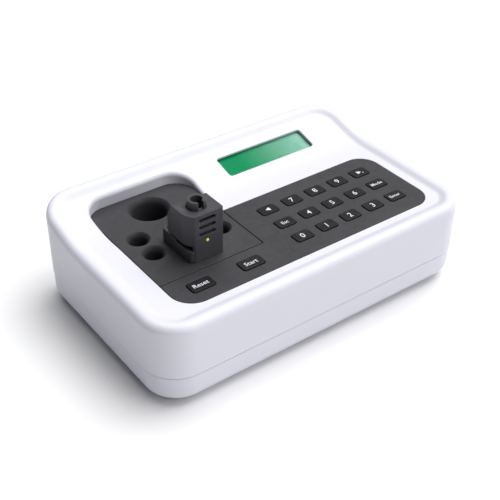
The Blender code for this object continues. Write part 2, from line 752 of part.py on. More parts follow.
def make_sample_panel():
    left, right = OPEN_LEFT + PANEL_GAP, BAY_RIGHT - PANEL_GAP
    outline = rounded_polygon([
        (left, SEAM_FRONT + SEAM / 2, 0.0), (right, SEAM_FRONT + SEAM / 2, 0.0),
        (right, BAY_BACK - PANEL_GAP, BAY_RIGHT_RADIUS - PANEL_GAP),
        (left, BAY_BACK - PANEL_GAP, BAY_LEFT_RADIUS - PANEL_GAP)], 5)
    panel = prism("sample_panel", outline, TOP_Z - PANEL_THICKNESS, TOP_Z, "dark_plastic")
    cups, bores = bmesh.new(), bmesh.new()
    for centre, mouth, lip in WELLS:
        inner, outer = cup_profiles(mouth, lip)
        add_turned(cups, outer, well_segments(mouth), centre)
        add_turned(bores, inner, well_segments(mouth), centre)
    boolean(panel, link_mesh("add_cups", cups, None), "UNION")
    boolean(panel, link_mesh("cut_bores", bores, None))
    passage = bmesh.new()
    x, y = HOLDER
    half, front, back = PASSAGE
    add_box(passage, x - half, x + half, y + front, y + back, TOP_Z - PAST, TOP_Z + PAST)
    for place in HEAD_SCREWS:
        add_prism(passage, circle(HEAD_SCREW_HOLE, 8, place), TOP_Z - PAST, TOP_Z + PAST)
    boolean(panel, link_mesh("cut_passage", passage, None))


def make_incubation_block():
    front, low, high = BLOCK[2], BLOCK[4], BLOCK[5]
    body = block("heater_block", BLOCK, "aluminium")
    holes = bmesh.new()
    for centre, mouth, lip in WELLS:
        radius = mouth - lip + CUP_WALL + CUP_CLEARANCE
        under = TOP_Z - WELL_DEPTH - CUP_WALL - 2 * GAP
        add_prism(holes, circle(radius, well_segments(mouth), centre), under, high + PAST)
    boolean(body, link_mesh("cut_block_bores", holes, None))
    sensor_hole = bmesh.new()
    hole_radius, hole_depth = SENSOR_HOLE
    add_prism(sensor_hole, circle(hole_radius, 8), -PAST, hole_depth)
    lay_along(sensor_hole, "Y", (SENSOR_AT[0], front, SENSOR_AT[1]))
    boolean(body, link_mesh("cut_sensor_hole", sensor_hole, None))
    mat_low = low - GAP - MAT_THICKNESS
    block("heater_mat", (*MAT, mat_low, mat_low + MAT_THICKNESS), "heater_orange")
    pin_top = low + PIN_HEIGHT + 1.0
    pins = turned("cut_block_pins", [(0.0, low - PAST), (PIN_HOLE_RADIUS, low - PAST),
                                     (PIN_HOLE_RADIUS, pin_top), (0.0, pin_top)], BLOCK_POSTS, 8, None)
    boolean(body, pins)
    radius, out, deep = SENSOR
    turned_along("temperature_sensor", [(0.0, -out), (radius, -out), (radius, deep), (0.0, deep)], 8, "Y",
                 (SENSOR_AT[0], front, SENSOR_AT[1]), "steel")


# ---------------------------------------------------------------- measuring head

def head_plan(inset):
    """Plan of the head's cover: a box whose front left corner is cut off at a slant."""
    left, right = HEAD_X - HEAD_HALF + inset, HEAD_X + HEAD_HALF - inset
    front, back = HEAD_FRONT + inset, HEAD_BACK - inset
    taper_x, taper_y = HEAD_TAPER
    length = math.hypot(taper_x, taper_y)
    taper_x -= inset * (1 - taper_y / (length + taper_x))
    taper_y -= inset * (1 - HEAD_TAPER[0] / (length + taper_y))
    return [(left + taper_x, front), (right - HEAD_CHAMFER, front), (right, front + HEAD_CHAMFER),
            (right, back), (left, back), (left, front + taper_y)]


def slope_cutter(name, drop):
    """Everything behind and above the cover's sloping back, moved inwards by drop."""
    slope = math.atan2(HEAD_TOP - SLOPE_LOW_Z, HEAD_BACK - SLOPE_TOP_Y)
    shift_y, shift_z = -drop * math.sin(slope), -drop * math.cos(slope)
    rise, run = HEAD_TOP - SLOPE_LOW_Z, HEAD_BACK - SLOPE_TOP_Y
    top = (SLOPE_TOP_Y - run + shift_y, HEAD_TOP + rise + shift_z)
    low = (HEAD_BACK + run + shift_y, SLOPE_LOW_Z - rise + shift_z)
    behind = low[0] + 2 * HEAD_HALF
    return extrude_side(name, [low, (behind, low[1]), (behind, top[1]), top],
                        HEAD_X - 2 * HEAD_HALF, HEAD_X + 2 * HEAD_HALF, None)


def make_head_cover():
    cover = prism("head_cover", head_plan(0.0), HEAD_LOW, HEAD_TOP, "head_plastic")
    boolean(cover, slope_cutter("cut_head_slope", 0.0))
    (left, front), (right, _), (side, turn) = head_plan(0.001)[:3]
    deep = HEAD_FRONT + APRON_DEPTH
    apron = prism("add_apron", [(left, front), (right, front), (side, turn), (side, deep), (left, deep)],
                  TOP_Z + GAP, HEAD_LOW + PAST, None)
    boolean(cover, apron, "UNION")
    cavity = prism("cut_head_cavity", head_plan(HEAD_WALL), HEAD_LOW - PAST, HEAD_TOP - HEAD_WALL, None)
    boolean(cavity, slope_cutter("keep_head_slope", HEAD_WALL))
    boolean(cavity, block("keep_apron", (HEAD_X - 2 * HEAD_HALF, HEAD_X + 2 * HEAD_HALF,
                                         HEAD_FRONT - PAST, deep, 0.0, HEAD_LOW), None))
    boolean(cover, cavity)
    holes = bmesh.new()
    width, height = LOUVRE_SIZE
    for z in LOUVRE_Z:
        outline = rounded_box(width, height, LOUVRE_RADIUS, 2, (LOUVRE_X, -z))
        add_prism(holes, outline, -PAST / 2, PAST / 2)
    add_prism(holes, circle(LED_RADIUS + GAP / 2, 12, (LOUVRE_X, -LED_Z)), -PAST / 2, PAST / 2)
    lay_along(holes, "Y", (0.0, HEAD_FRONT, 0.0))
    add_prism(holes, circle(HOLDER_RADIUS + GAP, 20, HOLDER), HEAD_TOP - PAST, HEAD_TOP + PAST)
    boolean(cover, link_mesh("cut_head_holes", holes, None))


def make_head_base():
    front = HEAD_FRONT + 0.1
    left, right = HEAD_X - BASE_HALF, HEAD_X + BASE_HALF
    chamfer = BASE_CHAMFER
    plan = [(left + chamfer, front), (right, front), (right, BASE_BACK - chamfer),
            (right - chamfer, BASE_BACK), (left + chamfer, BASE_BACK), (left, BASE_BACK - chamfer),
            (left, front + chamfer)]
    low = TOP_Z + GAP
    base = prism("head_base", plan, low, BASE_TOP, "head_plastic")
    behind = HEAD_FRONT + APRON_DEPTH + GAP
    inside = block("cut_base_inside", (left + BASE_WALL, right - BASE_WALL, behind + BASE_RIB,
                                       BASE_BACK - BASE_WALL, low + BASE_FLOOR, BASE_TOP + PAST), None)
    boolean(base, inside)
    apron_room = block("cut_base_apron", (head_plan(0.0)[0][0] - GAP, right + PAST, HEAD_FRONT - PAST,
                                          behind, low - PAST, BASE_TOP + PAST), None)
    boolean(base, apron_room)
    notch = block("cut_base_notch", (left - PAST, right + PAST, HEAD_FRONT - PAST, BASE_NOTCH_BACK,
                                     BASE_NOTCH_Z, BASE_TOP + PAST), None)
    boolean(base, notch)
    holes = bmesh.new()
    x, y = HOLDER
    half, front, back = PASSAGE
    add_box(holes, x - half, x + half, y + front, y + back + 4 * GAP, low - PAST, low + PAST)
    for place in HEAD_SCREWS:
        add_prism(holes, circle(HEAD_SCREW_HOLE, 8, place), low - PAST, low + PAST)
    boolean(base, link_mesh("cut_base_holes", holes, None))


def make_cuvette_holder():
    floor = HOLDER_LOW + HOLDER_FLOOR
    profile = [(0.0, HOLDER_LOW), (HOLDER_RADIUS, HOLDER_LOW), (HOLDER_RADIUS, HOLDER_TOP - HOLDER_EDGE),
               (HOLDER_RADIUS - HOLDER_EDGE, HOLDER_TOP), (HOLDER_BORE, HOLDER_TOP), (HOLDER_BORE, floor),
               (0.0, floor)]
    holder = turned("cuvette_holder", profile, [HOLDER], 20, "head_plastic")
    x, y = HOLDER
    slot = block("cut_collar_slot", (x - HOLDER_SLOT, x + HOLDER_SLOT, y - HOLDER_RADIUS - PAST, y,
                                     HEAD_TOP + GAP, HOLDER_TOP + PAST), None)
    ports = bmesh.new()
    add_prism(ports, circle(PORT_RADIUS, 8), -HOLDER_RADIUS - PAST, HOLDER_RADIUS + PAST)
    lay_along(ports, "X", (x, y, PORT_Z))
    boolean(holder, slot)
    boolean(holder, link_mesh("cut_ports", ports, None))


def disc(radius, thickness):
    return [(0.0, 0.0), (radius, 0.0), (radius, thickness), (0.0, thickness)]


def make_head_optics():
    left = HOLDER[0] - HOLDER_RADIUS - GAP
    right = HOLDER[0] + HOLDER_RADIUS + GAP
    axis = (HOLDER[1], PORT_Z)
    lens_at = left - LENS[1]
    turned_along("filter_lens", disc(*LENS), 12, "X", (lens_at, *axis), "glass")
    turned_along("light_source", disc(*LAMP), 12, "X", (lens_at - GAP - LAMP[1], *axis), "lamp_lens")
    turned_along("photodiode", disc(*PHOTODIODE), 12, "X", (right, *axis), "steel")
    half, front, back, low, high = HEAD_BOARD
    block("head_board", (HEAD_X - half, HEAD_X + half, front, back, low, high), "board_green")
    flange, end = LED_RADIUS + LED_FLANGE, LED_COLLAR_AT + LED_FLANGE_THICKNESS
    turned_along("status_led", [(0.0, 0.2), (0.8, 0.45), (LED_RADIUS, 1.1), (LED_RADIUS, LED_COLLAR_AT),
                                (flange, LED_COLLAR_AT), (flange, end), (0.0, end)], 12, "Y",
                 (LOUVRE_X, HEAD_FRONT - GAP, LED_Z), "lamp_lens")
    radius, low, high = HEAD_SCREW_HEAD
    tip = TOP_Z - PANEL_THICKNESS + 0.2
    screw = [(0.0, tip), (SCREW_RADIUS, tip), (SCREW_RADIUS, TOP_Z + low), (radius, TOP_Z + low),
             (radius, TOP_Z + high), (0.0, TOP_Z + high)]
    for side, place in zip(("left", "right"), HEAD_SCREWS):
        turned(f"head_screw_{side}", screw, [place], 8, "steel")


# ---------------------------------------------------------------- display

def tilt_to_deck(bm):
    """Move a bmesh built about the origin onto the sloping deck, its +Z out of the surface."""
    x, y = LCD_CENTRE
    turn = Matrix.Rotation(math.atan(DECK_SLOPE), 4, "X")
    bmesh.ops.transform(bm, matrix=Matrix.Translation((x, y, deck_height(y))) @ turn, verts=bm.verts)


def deck_plate(name, size, radius, high, thickness, material):
    bm = bmesh.new()
    add_prism(bm, rounded_box(*size, radius, 2), high - thickness, high)
    tilt_to_deck(bm)
    return link_mesh(name, bm, material)


def make_display():
    window_top = -LCD_LIP - GAP
    deck_plate("lcd_window", LCD_WINDOW, WINDOW_RADIUS, window_top, WINDOW_THICKNESS, "clear_window")
    high = window_top - WINDOW_THICKNESS - GAP
    bezel = deck_plate("lcd_bezel", BEZEL_SIZE, 1.0, high, BEZEL_DEPTH, "black_plastic")
    boolean(bezel, deck_plate("cut_bezel", BEZEL_ROOM, 0.5, high + 1.0, BEZEL_DEPTH + 2.0, None))
    layers = (("lcd_glass", LCD_GLASS_SIZE, 0.5, LCD_GLASS, "lcd_green"),
              ("lcd_backlight", LCD_GLASS_SIZE, 0.5, BACKLIGHT, "backlight_white"),
              ("lcd_board", LCD_BOARD_SIZE, 1.0, LCD_BOARD, "board_green"))
    for name, size, radius, (below, thickness), material in layers:
        deck_plate(name, size, radius, high - below, thickness, material)


# ---------------------------------------------------------------- boards inside

def make_main_board():
    """Board under the keypad with its soldered key switches, chips, connectors and buzzer."""
    high = BOARD_Z + BOARD_THICKNESS
    left, right = OPEN_LEFT + BOARD_INSET[0], OPEN_RIGHT - BOARD_INSET[1]
    front, back = OPEN_FRONT + BOARD_INSET[2], OPEN_BACK - BOARD_INSET[3]
    outline = rounded_polygon([
        (left, front, 8.0), (right, front, 8.0), (right, back, 3.0), (BAY_RIGHT + 2.5, back, 1.0),
        (BAY_RIGHT + 2.5, SEAM_FRONT - 2.0, 1.0), (left, SEAM_FRONT - 2.0, 1.0)], 2)
    board = prism("main_board", outline, BOARD_Z, high, "board_green")
    boolean(board, pin_holes("cut_board_holes", BOARD_POSTS, BOARD_Z))
    parts = bmesh.new()
    switch_top = TOP_Z - PANEL_THICKNESS - GAP - KEY_FLANGE_THICKNESS - KEY_TRAVEL - GAP
    for x, y, _ in key_places().values():
        add_box(parts, x - SWITCH_HALF, x + SWITCH_HALF, y - SWITCH_HALF, y + SWITCH_HALF,
                high - SOLDERED, switch_top)
    for x, y, dx, dy, dz in BOARD_CHIPS:
        add_box(parts, x - dx, x + dx, y - dy, y + dy, BOARD_Z - dz, BOARD_Z + SOLDERED)
    half, front, back, tall = KEY_CONNECTOR
    add_box(parts, HOLDER[0] - half, HOLDER[0] + half, front, back, high - SOLDERED, high + tall)
    radius, deep = BUZZER
    add_prism(parts, circle(radius, 12, BUZZER_AT), BOARD_Z - deep, BOARD_Z + SOLDERED)
    boolean(board, link_mesh("add_board_parts", parts, None), "UNION")


def pin_holes(name, places, low):
    return turned(name, [(0.0, low - PAST), (PIN_HOLE_RADIUS, low - PAST), (PIN_HOLE_RADIUS, low + PAST),
                         (0.0, low + PAST)], places, 8, None)


def make_power_board():
    """Supply board on the floor with its capacitors and connectors, and a finned heat sink."""
    high = POWER_Z + BOARD_THICKNESS
    board = block("power_board", (*POWER_BOARD, POWER_Z, high), "board_green")
    boolean(board, pin_holes("cut_power_holes", POWER_POSTS, POWER_Z))
    parts = bmesh.new()
    radius, tall = CAPACITOR_SIZE
    for centre in CAPACITORS:
        add_prism(parts, circle(radius, 12, centre), high - SOLDERED, high + tall)
    half_x, half_y, tall = PLUG_SIZE
    for x, y in (POWER_LEAD_AT, BOARD_LEAD_AT):
        add_box(parts, x - half_x, x + half_x, y - half_y, y + half_y, high - SOLDERED, high + tall)
    boolean(board, link_mesh("add_power_parts", parts, None), "UNION")

    left, front, back = HEAT_SINK_AT
    root = front + HEAT_SINK_WEB
    comb = [(left, front), (left + FIN_PITCH * (HEAT_SINK_FINS - 1) + FIN_THICKNESS, front)]
    for i in reversed(range(HEAT_SINK_FINS)):
        x = left + FIN_PITCH * i
        comb += [(x + FIN_THICKNESS, back), (x, back)]
        if i:
            comb += [(x, root), (x - FIN_PITCH + FIN_THICKNESS, root)]
    prism("heat_sink", comb, high + GAP, high + HEAT_SINK_HEIGHT, "aluminium")


# ---------------------------------------------------------------- rear panel

def rear_solid(name, outlines, material):
    """Solids on the rear panel: outlines of (x, z) extruded along Y between two depths."""
    bm = bmesh.new()
    for outline, y0, y1 in outlines:
        add_loft(bm, [[(p[0], y, p[1]) for p in outline] for y in (y0, y1)])
    return link_mesh(name, bm, material)


def make_rear_panel():
    x0, x1, z0, z1 = REAR_OPENING
    inner = REAR_FACE - REAR_THICKNESS
    middle = ((x0 + x1) / 2, (z0 + z1) / 2 + 0.2)
    outline = rounded_box(x1 - x0 + 2 * REAR_LAP[0], z1 - z0 + 2 * REAR_LAP[1], 1.0, 1, middle)
    panel = rear_solid("rear_panel", [(outline, inner, REAR_FACE)], "black_plastic")
    holes = [circle(DATA_BODY_RADIUS + GAP, 16, (DATA_X, REAR_Z))]
    for x, (width, height) in ((SWITCH_X, SWITCH_BODY), (INLET_X, INLET_BODY)):
        holes.append(rounded_box(width + 2 * GAP, height + 2 * GAP, 0.5, 1, (x, REAR_Z)))
    cutters = [(hole, inner - PAST, REAR_FACE + PAST) for hole in holes]
    boolean(panel, rear_solid("cut_rear_holes", cutters, None))


def flanged_socket(name, flange, body):
    """A body through the rear panel with a flange outside it; returns it and the flange's outer face."""
    face = REAR_FACE + GAP
    front = face + FLANGE_THICKNESS
    socket = rear_solid(name, [(flange, face, front)], "black_plastic")
    inner = rear_solid("add_socket_body", [(body, REAR_FACE - SOCKET_DEPTH, face + FLANGE_THICKNESS / 2)],
                       None)
    boolean(socket, inner, "UNION")
    return socket, front


def make_sockets():
    place = (INLET_X, REAR_Z)
    inlet, front = flanged_socket("power_inlet", rounded_box(*INLET_FLANGE, 1.0, 1, place),
                                  rounded_box(*INLET_BODY, 0.4, 1, place))
    radius, depth = INLET_BORE
    bore = rear_solid("cut_inlet", [(circle(radius, 12, place), front - depth, front + PAST)], None)
    boolean(inlet, bore)
    radius, short = INLET_PIN
    pin = rear_solid("add_inlet_pin", [
        (circle(radius, 8, place), front - depth - 1.0, front - short)], None)
    boolean(inlet, pin, "UNION")
    place = (DATA_X, REAR_Z)
    data, front = flanged_socket("data_port", rounded_box(DATA_FLANGE, DATA_FLANGE, 1.5, 1, place),
                                 circle(DATA_BODY_RADIUS, 16, place))
    radius, depth = DATA_BORE
    bore = rear_solid("cut_data", [(circle(radius, 16, place), front - depth, front + PAST)], None)
    boolean(data, bore)


def make_power_switch():
    place = (SWITCH_X, REAR_Z)
    body, front = flanged_socket("power_switch", rounded_box(*SWITCH_FLANGE, 0.8, 1, place),
                                 rounded_box(*SWITCH_BODY, 0.4, 1, place))
    width, height, depth = SWITCH_ROOM
    room = rounded_box(width, height, 0.3, 1, place)
    boolean(body, rear_solid("cut_switch", [(room, front - depth, front + PAST)], None))
    turn = Matrix.Rotation(math.radians(-ROCKER_TILT), 2)
    extrude_side("power_rocker", [turn @ Vector(p) for p in ROCKER_PROFILE], -ROCKER_HALF_WIDTH,
                 ROCKER_HALF_WIDTH, "black_plastic", (SWITCH_X, ROCKER_PIVOT_Y, REAR_Z))


def make_leads():
    over = POWER_Z + BOARD_THICKNESS + PLUG_SIZE[2] + GAP
    x, y = POWER_LEAD_AT
    behind = REAR_FACE - SOCKET_DEPTH
    lead("power_lead", [(INLET_X, behind - 0.5, REAR_Z), (INLET_X, behind - 3.5, REAR_Z),
                        (x - 1.0, y - 0.5, 31.0), (x, y, 23.0), (x, y, over + 3.0), (x, y, over)])
    x, y = BOARD_LEAD_AT
    lead("board_lead", [(x, y, over), (x, y, over + 3.0), (x + 1.0, y - 3.0, 23.0), (70.0, 10.0, 31.0),
                        (74.0, 1.0, 33.0), (74.0, 0.0, 36.0), (74.0, 0.0, BOARD_Z - 6.0 - 2 * GAP)])
    x = HOLDER[0]
    lead("head_lead", [(x, -7.0, 59.5), (x, -7.4, 57.2), (x, -9.8, 54.7), (x, -13.8, 51.6),
                       (x, -17.5, 48.8), (x, -24.0, 47.9), (x, -35.6, 47.9)])
    bm = bmesh.new()
    route = smooth_route([(0.0, 4.95, 42.4), (0.0, 14.0, 41.0), (0.0, 24.0, 37.5), (0.0, 32.0, 39.0),
                          (0.0, 34.5, 42.6)], 3)
    left, right, half = RIBBON
    upper, lower = [], []
    for i, point in enumerate(route):
        along = (route[min(i + 1, len(route) - 1)] - route[max(i - 1, 0)]).normalized()
        normal = Vector((0.0, -along.z, along.y)) * half
        upper.append(point + normal)
        lower.append(point - normal)
    outline = upper + lower[::-1]
    add_loft(bm, [[(x, p.y, p.z) for p in outline] for x in (left, right)])
    link_mesh("display_ribbon", bm, "cable_grey")


clear_scene()
STAND = bpy.data.objects.new("stand", None)
bpy.context.scene.collection.objects.link(STAND)
STAND.location = (0.0, 0.0, FOOT_HEIGHT * MM)
MATERIALS = {name: make_material(name) for name in COLOURS}

make_upper_case()
make_lower_case()
make_case_fixings()
make_keypad_panel()
make_keys()
make_sample_panel()
make_incubation_block()
make_head_cover()
make_head_base()
make_cuvette_holder()
make_head_optics()
make_display()
make_main_board()
make_power_board()
make_rear_panel()
make_sockets()
make_power_switch()
make_leads()
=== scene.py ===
"""Looks of a desk-top photometric analyser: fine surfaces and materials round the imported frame.

Lengths are in millimetres in the casing's frame: X right along the front, Y to the back, and Z up
from the casing's underside, which stands FEET above the table. solid() turns meshes into metres.
"""
import json
from math import atan, cos, pi, radians, sin, tan

import bmesh
import bpy
import numpy as np
from mathutils import Matrix, Vector
from mathutils.geometry import delaunay_2d_cdt


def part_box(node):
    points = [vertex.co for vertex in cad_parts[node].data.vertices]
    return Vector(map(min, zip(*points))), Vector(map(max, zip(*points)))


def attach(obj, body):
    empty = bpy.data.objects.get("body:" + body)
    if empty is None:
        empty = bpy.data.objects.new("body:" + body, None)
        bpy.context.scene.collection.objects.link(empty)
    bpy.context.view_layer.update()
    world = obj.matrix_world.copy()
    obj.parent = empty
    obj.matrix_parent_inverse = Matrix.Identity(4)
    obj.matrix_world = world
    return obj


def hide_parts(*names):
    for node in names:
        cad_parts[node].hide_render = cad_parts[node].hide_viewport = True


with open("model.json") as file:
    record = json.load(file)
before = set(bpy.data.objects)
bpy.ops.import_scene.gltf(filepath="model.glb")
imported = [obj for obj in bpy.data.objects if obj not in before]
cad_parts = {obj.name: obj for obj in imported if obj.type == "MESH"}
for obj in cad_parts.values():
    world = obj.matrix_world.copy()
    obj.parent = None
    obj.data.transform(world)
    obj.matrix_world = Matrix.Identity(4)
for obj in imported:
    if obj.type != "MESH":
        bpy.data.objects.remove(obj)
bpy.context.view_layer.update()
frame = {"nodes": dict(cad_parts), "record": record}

MM = 0.001
FEET = 2.0
CASE = "case"


def node_box(name):
    """Lowest and highest corner of a CAD node in millimetres, in the casing's frame."""
    low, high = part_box(name)
    lift = Vector((0.0, 0.0, FEET))
    return low / MM - lift, high / MM - lift


# casing, as the CAD has it
UPPER_LOW, UPPER_HIGH = node_box("upper_case")
HALF_X, HALF_Y = UPPER_HIGH.x, UPPER_HIGH.y
CASE_RADIUS = 22.5
WALL = 2.5
UPPER_EDGE_Z = UPPER_LOW.z
LOWER_EDGE_Z = UPPER_EDGE_Z - 0.5
LOWER_INSET = 0.4
BOTTOM_FILLET = 9.2
FLOOR_MARGIN = 2.0
LIP_INSET = 2.8
LIP_WALL = 1.4
LIP_HEIGHT = 2.5
TOP_Z = 53.4
RIM_HEIGHT = 2.2
RIM_RADIUS = 4.8
RIM_CREST = 0.8
COVE_WIDTH = 6.5
DECK_START = 19.0
DECK_END = 37.0
DECK_SLOPE = 0.27
EDGE = 0.35
CORNERS = ("front_left", "back_left", "front_right", "back_right")

# meshing: GUARD is the width of a flat ring beside each rounded edge, which keeps its shading off
# the face, and PAST is how far a cutter runs out of the face it cuts
GUARD = 0.3
PAST = 1.0
CORNER_STEPS = 16
SIDE_STEPS = 26
COVE_STEPS = 12
DECK_GRID = 3.5
UNDER_GRID = 9.0
PLATE_GRID = 6.0
KEY_STEP = 1.5
KEY_GRID = 1.1

# opening and the panels in it
OPEN_LEFT = -91.6
OPEN_RIGHT = 99.8
OPEN_FRONT = -56.7
OPEN_BACK = 11.0
BAY_RIGHT = -18.4
BAY_BACK = 57.8
FRONT_LEFT_RADIUS = 15.0
RIGHT_RADIUS = 13.5
BAY_LEFT_RADIUS = 13.0
BAY_RIGHT_RADIUS = 15.0
INNER_RADIUS = 1.5
PANEL_THICKNESS = 2.0
PANEL_GAP = 0.35
LEDGE_WIDTH = 2.5
LEDGE_Z = TOP_Z - PANEL_THICKNESS - 0.3
SKIRT_Z = TOP_Z - 4.4
SKIRT_WALL = 1.2
SEAM_FRONT = -31.3
SEAM = 0.45
SEAM_RADIUS = 0.9
SHARP_EDGE_RADIUS = 0.35
SOFT_EDGE_RADIUS = 2.4
SOFT_EDGE_RUN = 34.0

# wells: centre, mouth radius, width of the flared lip; the lip leaves the panel at LIP_ANGLE
WELLS = (
    ((-54.7, 39.3), 13.9, 2.6),
    ((-77.4, 15.2), 7.6, 2.15),
    ((-77.0, -2.0), 7.6, 2.15),
    ((-30.3, -3.0), 7.6, 2.15),
    ((-30.3, 14.5), 7.6, 2.15),
)
WELL_DEPTH = 24.0
WELL_FILLET = 1.8
WELL_DRAFT = 0.1
LIP_ANGLE = radians(55.0)
CUP_WALL = 1.2

# display
LCD_CENTRE = (42.3, 46.05)
LCD_OPENING = (70.2, 17.7)
LCD_RADIUS = 2.0
LCD_LIP = 1.6
LCD_SEAT = 1.9
LCD_EDGE = 0.6
WINDOW_SIZE = (73.4, 20.9)
WINDOW_GAP = 0.3
WINDOW_THICKNESS = 0.7
GLASS_SIZE = (73.0, 20.5)
GLASS_GAP = 0.1
GLASS_THICKNESS = 0.9

# keys
KEY_FLANGE = 0.8
KEY_FLANGE_THICKNESS = 0.7
KEY_RADIUS = 1.8
KEY_FILLET = 0.4
KEY_DISH = 0.12
LEGEND_RISE = 0.035
LEGEND_ROOT = 0.05

# measuring head
HEAD_X = -54.55
HEAD_HALF = 11.95
HEAD_FRONT = -25.0
HEAD_BACK = -1.2
HEAD_TOP = 85.0
HEAD_LOW = 64.5
HEAD_TAPER = (3.6, 6.0)
HEAD_RADII = (1.8, 1.6, 0.8, 0.8, 11.0)
HEAD_SOFT = 0.6
HEAD_WALL = 1.6
APRON_DEPTH = 2.1
APRON_LOW = TOP_Z + 0.3
SLOPE_TOP_Y = -7.0
SLOPE_LOW_Z = 75.5
LOUVRE_X = -54.0
LOUVRE_SIZE = (11.2, 2.2)
LOUVRE_RADIUS = 0.8
LOUVRE_Z = (71.6, 76.4, 81.2)
BLADE_DEPTH = (0.9, 2.6)
BLADE_THICKNESS = 0.5
BLADE_LAP = 0.35
LED_Z = 66.4
LED_HOLE = 1.25
LED_STANDOFF = 0.2
BASE_HALF = 11.45
BASE_BACK = 6.6
BASE_TOP = 62.8
BASE_CORNER = 2.6
BASE_WALL = 2.2
NOTCH_Z = 61.4
NOTCH_BACK = -9.0
BASE_SOFT = 0.45
HOLDER = (-55.0, -15.0)
HOLDER_RADIUS = 5.6
HOLDER_BORE = 3.5
HOLDER_TOP = 90.0
HOLDER_LOW = 57.0
HOLDER_SLOT = 3.6
HOLDER_SOFT = 0.45
COLLAR_HOLE = HOLDER_RADIUS + 0.3

# rear, feet and fixings
REAR_OPENING = (-25.0, 85.0, 24.5, 48.5)
REAR_Z = 36.5
REAR_FACE = 70.45
REAR_THICKNESS = 1.8
REAR_LAP = (3.0, 2.5)
REAR_CORNER = 3.0
REAR_DEPTH = 9.0
REAR_PLAY = 0.3
FLANGE_FACE = REAR_FACE + 0.3
FLANGE_TOP = FLANGE_FACE + 1.4
SOCKET_END = REAR_FACE - 16.0
INLET_X = 42.0
INLET_FLANGE = (14.0, 16.0)
INLET_BODY = (11.0, 13.0)
INLET_BORE = (3.4, 9.5)
PIN_RADIUS = 1.0
PIN_LENGTH = 9.0
PIN_BELOW = 1.5
PIN_SOFT = 0.6
DATA_X = 10.0
DATA_FLANGE = (17.0, 17.0)
DATA_RADIUS = 7.0
DATA_BORE = (4.6, 7.0)
SWITCH_X = 72.0
SWITCH_FLANGE = (15.0, 21.0)
SWITCH_BODY = (13.0, 19.0)
ROCKER_ROOM = (10.6, 16.6)
ROCKER_DEPTH = 8.5
SCREW_AT = (102.6, 58.6)
SCREW_MOUTH = 4.6
SCREW_BORE = 3.6
FOOT_AT = (86.0, 42.0)
FOOT_RADIUS = 8.0
FOOT_RECESS = 1.0
FOOT_PLAY = 0.3
FOOT_GROOVE = 0.25
FOOT_EDGE = 0.6
VENT_COUNT = 5
VENT_START = (45.0, 32.0)
VENT_PITCH = 7.0
VENT_SIZE = (3.0, 30.0)
VENT_RADIUS = 1.45
LABEL_SIZE = (60.0, 30.0)
LABEL_AT = (-30.0, 0.0)
LABEL_RECESS = 0.6


# ---- outlines

def rounded(corners, segments):
    """A polygon of (x, y, radius) corners, listed anticlockwise, each turned into a tangent arc."""
    points = []
    count = len(corners)
    for i, (x, y, radius) in enumerate(corners):
        here = Vector((x, y))
        arriving = (here - Vector(corners[i - 1][:2])).normalized()
        leaving = (Vector(corners[(i + 1) % count][:2]) - here).normalized()
        turn = arriving.angle_signed(leaving)
        if radius <= 0.0 or abs(turn) < 0.01:
            points.append(here)
            continue
        reach = radius * tan(abs(turn) / 2)
        side = Vector((-arriving.y, arriving.x)) * (-1 if turn > 0 else 1)
        start = here - arriving * reach
        centre = start + side * radius
        for step in range(segments + 1):
            arm = start - centre
            arm.rotate(Matrix.Rotation(-turn * step / segments, 2))
            points.append(centre + arm)
    return points


def rounded_box(width, height, radius, centre=(0.0, 0.0), segments=8):
    x, y = width / 2, height / 2
    cx, cy = centre
    return rounded([(cx - x, cy - y, radius), (cx + x, cy - y, radius),
                    (cx + x, cy + y, radius), (cx - x, cy + y, radius)], segments)


def circle(radius, segments, centre=(0.0, 0.0)):
    turn = 2 * pi / segments
    return [Vector((centre[0] + radius * cos(turn * i),
                    centre[1] + radius * sin(turn * i))) for i in range(segments)]


def round_rings(profile, segments, centre):
    """Rings about a vertical axis from a profile of (radius, height)."""
    return [[(p.x, p.y, z) for p in circle(r, segments, centre)] for r, z in profile]


def quarter(steps):
    """Sine and cosine at even steps along a quarter turn."""
    angles = [pi / 2 * step / steps for step in range(steps + 1)]
    return [(sin(angle), cos(angle)) for angle in angles]


def divided(points, step):
    """The same outline with extra points along its straight runs."""
    out = []
    for here, after in zip(points, points[1:] + points[:1]):
        parts = max(1, round((after - here).length / step))
        out += [here.lerp(after, i / parts) for i in range(parts)]
    return out


def outward(points):
    """The outward direction at each point of an anticlockwise outline, long enough at a corner
    for its edges to move evenly."""
    normals = []
    count = len(points)
    for i in range(count):
        a = (points[i] - points[i - 1]).normalized()
        b = (points[(i + 1) % count] - points[i]).normalized()
        na, nb = Vector((a.y, -a.x)), Vector((b.y, -b.x))
        middle = (na + nb).normalized()
        normals.append(middle / max(middle.dot(na), 0.5))
    return normals


def grown(points, offset):
    return [p + n * offset for p, n in zip(points, outward(points))]


def levelled(points, levels):
    """Rings of an outline, one for each (offset outwards, height)."""
    return [[(p.x, p.y, z) for p in grown(points, offset)] for offset, z in levels]


def opening_outline():
    """The opening in the top: the keypad with the sample bay behind its left part."""
    return divided(rounded([
        (OPEN_LEFT, OPEN_FRONT, FRONT_LEFT_RADIUS), (OPEN_RIGHT, OPEN_FRONT, RIGHT_RADIUS),
        (OPEN_RIGHT, OPEN_BACK, RIGHT_RADIUS), (BAY_RIGHT, OPEN_BACK, INNER_RADIUS),
        (BAY_RIGHT, BAY_BACK, BAY_RIGHT_RADIUS),
        (OPEN_LEFT, BAY_BACK, BAY_LEFT_RADIUS)], 14), DECK_GRID)


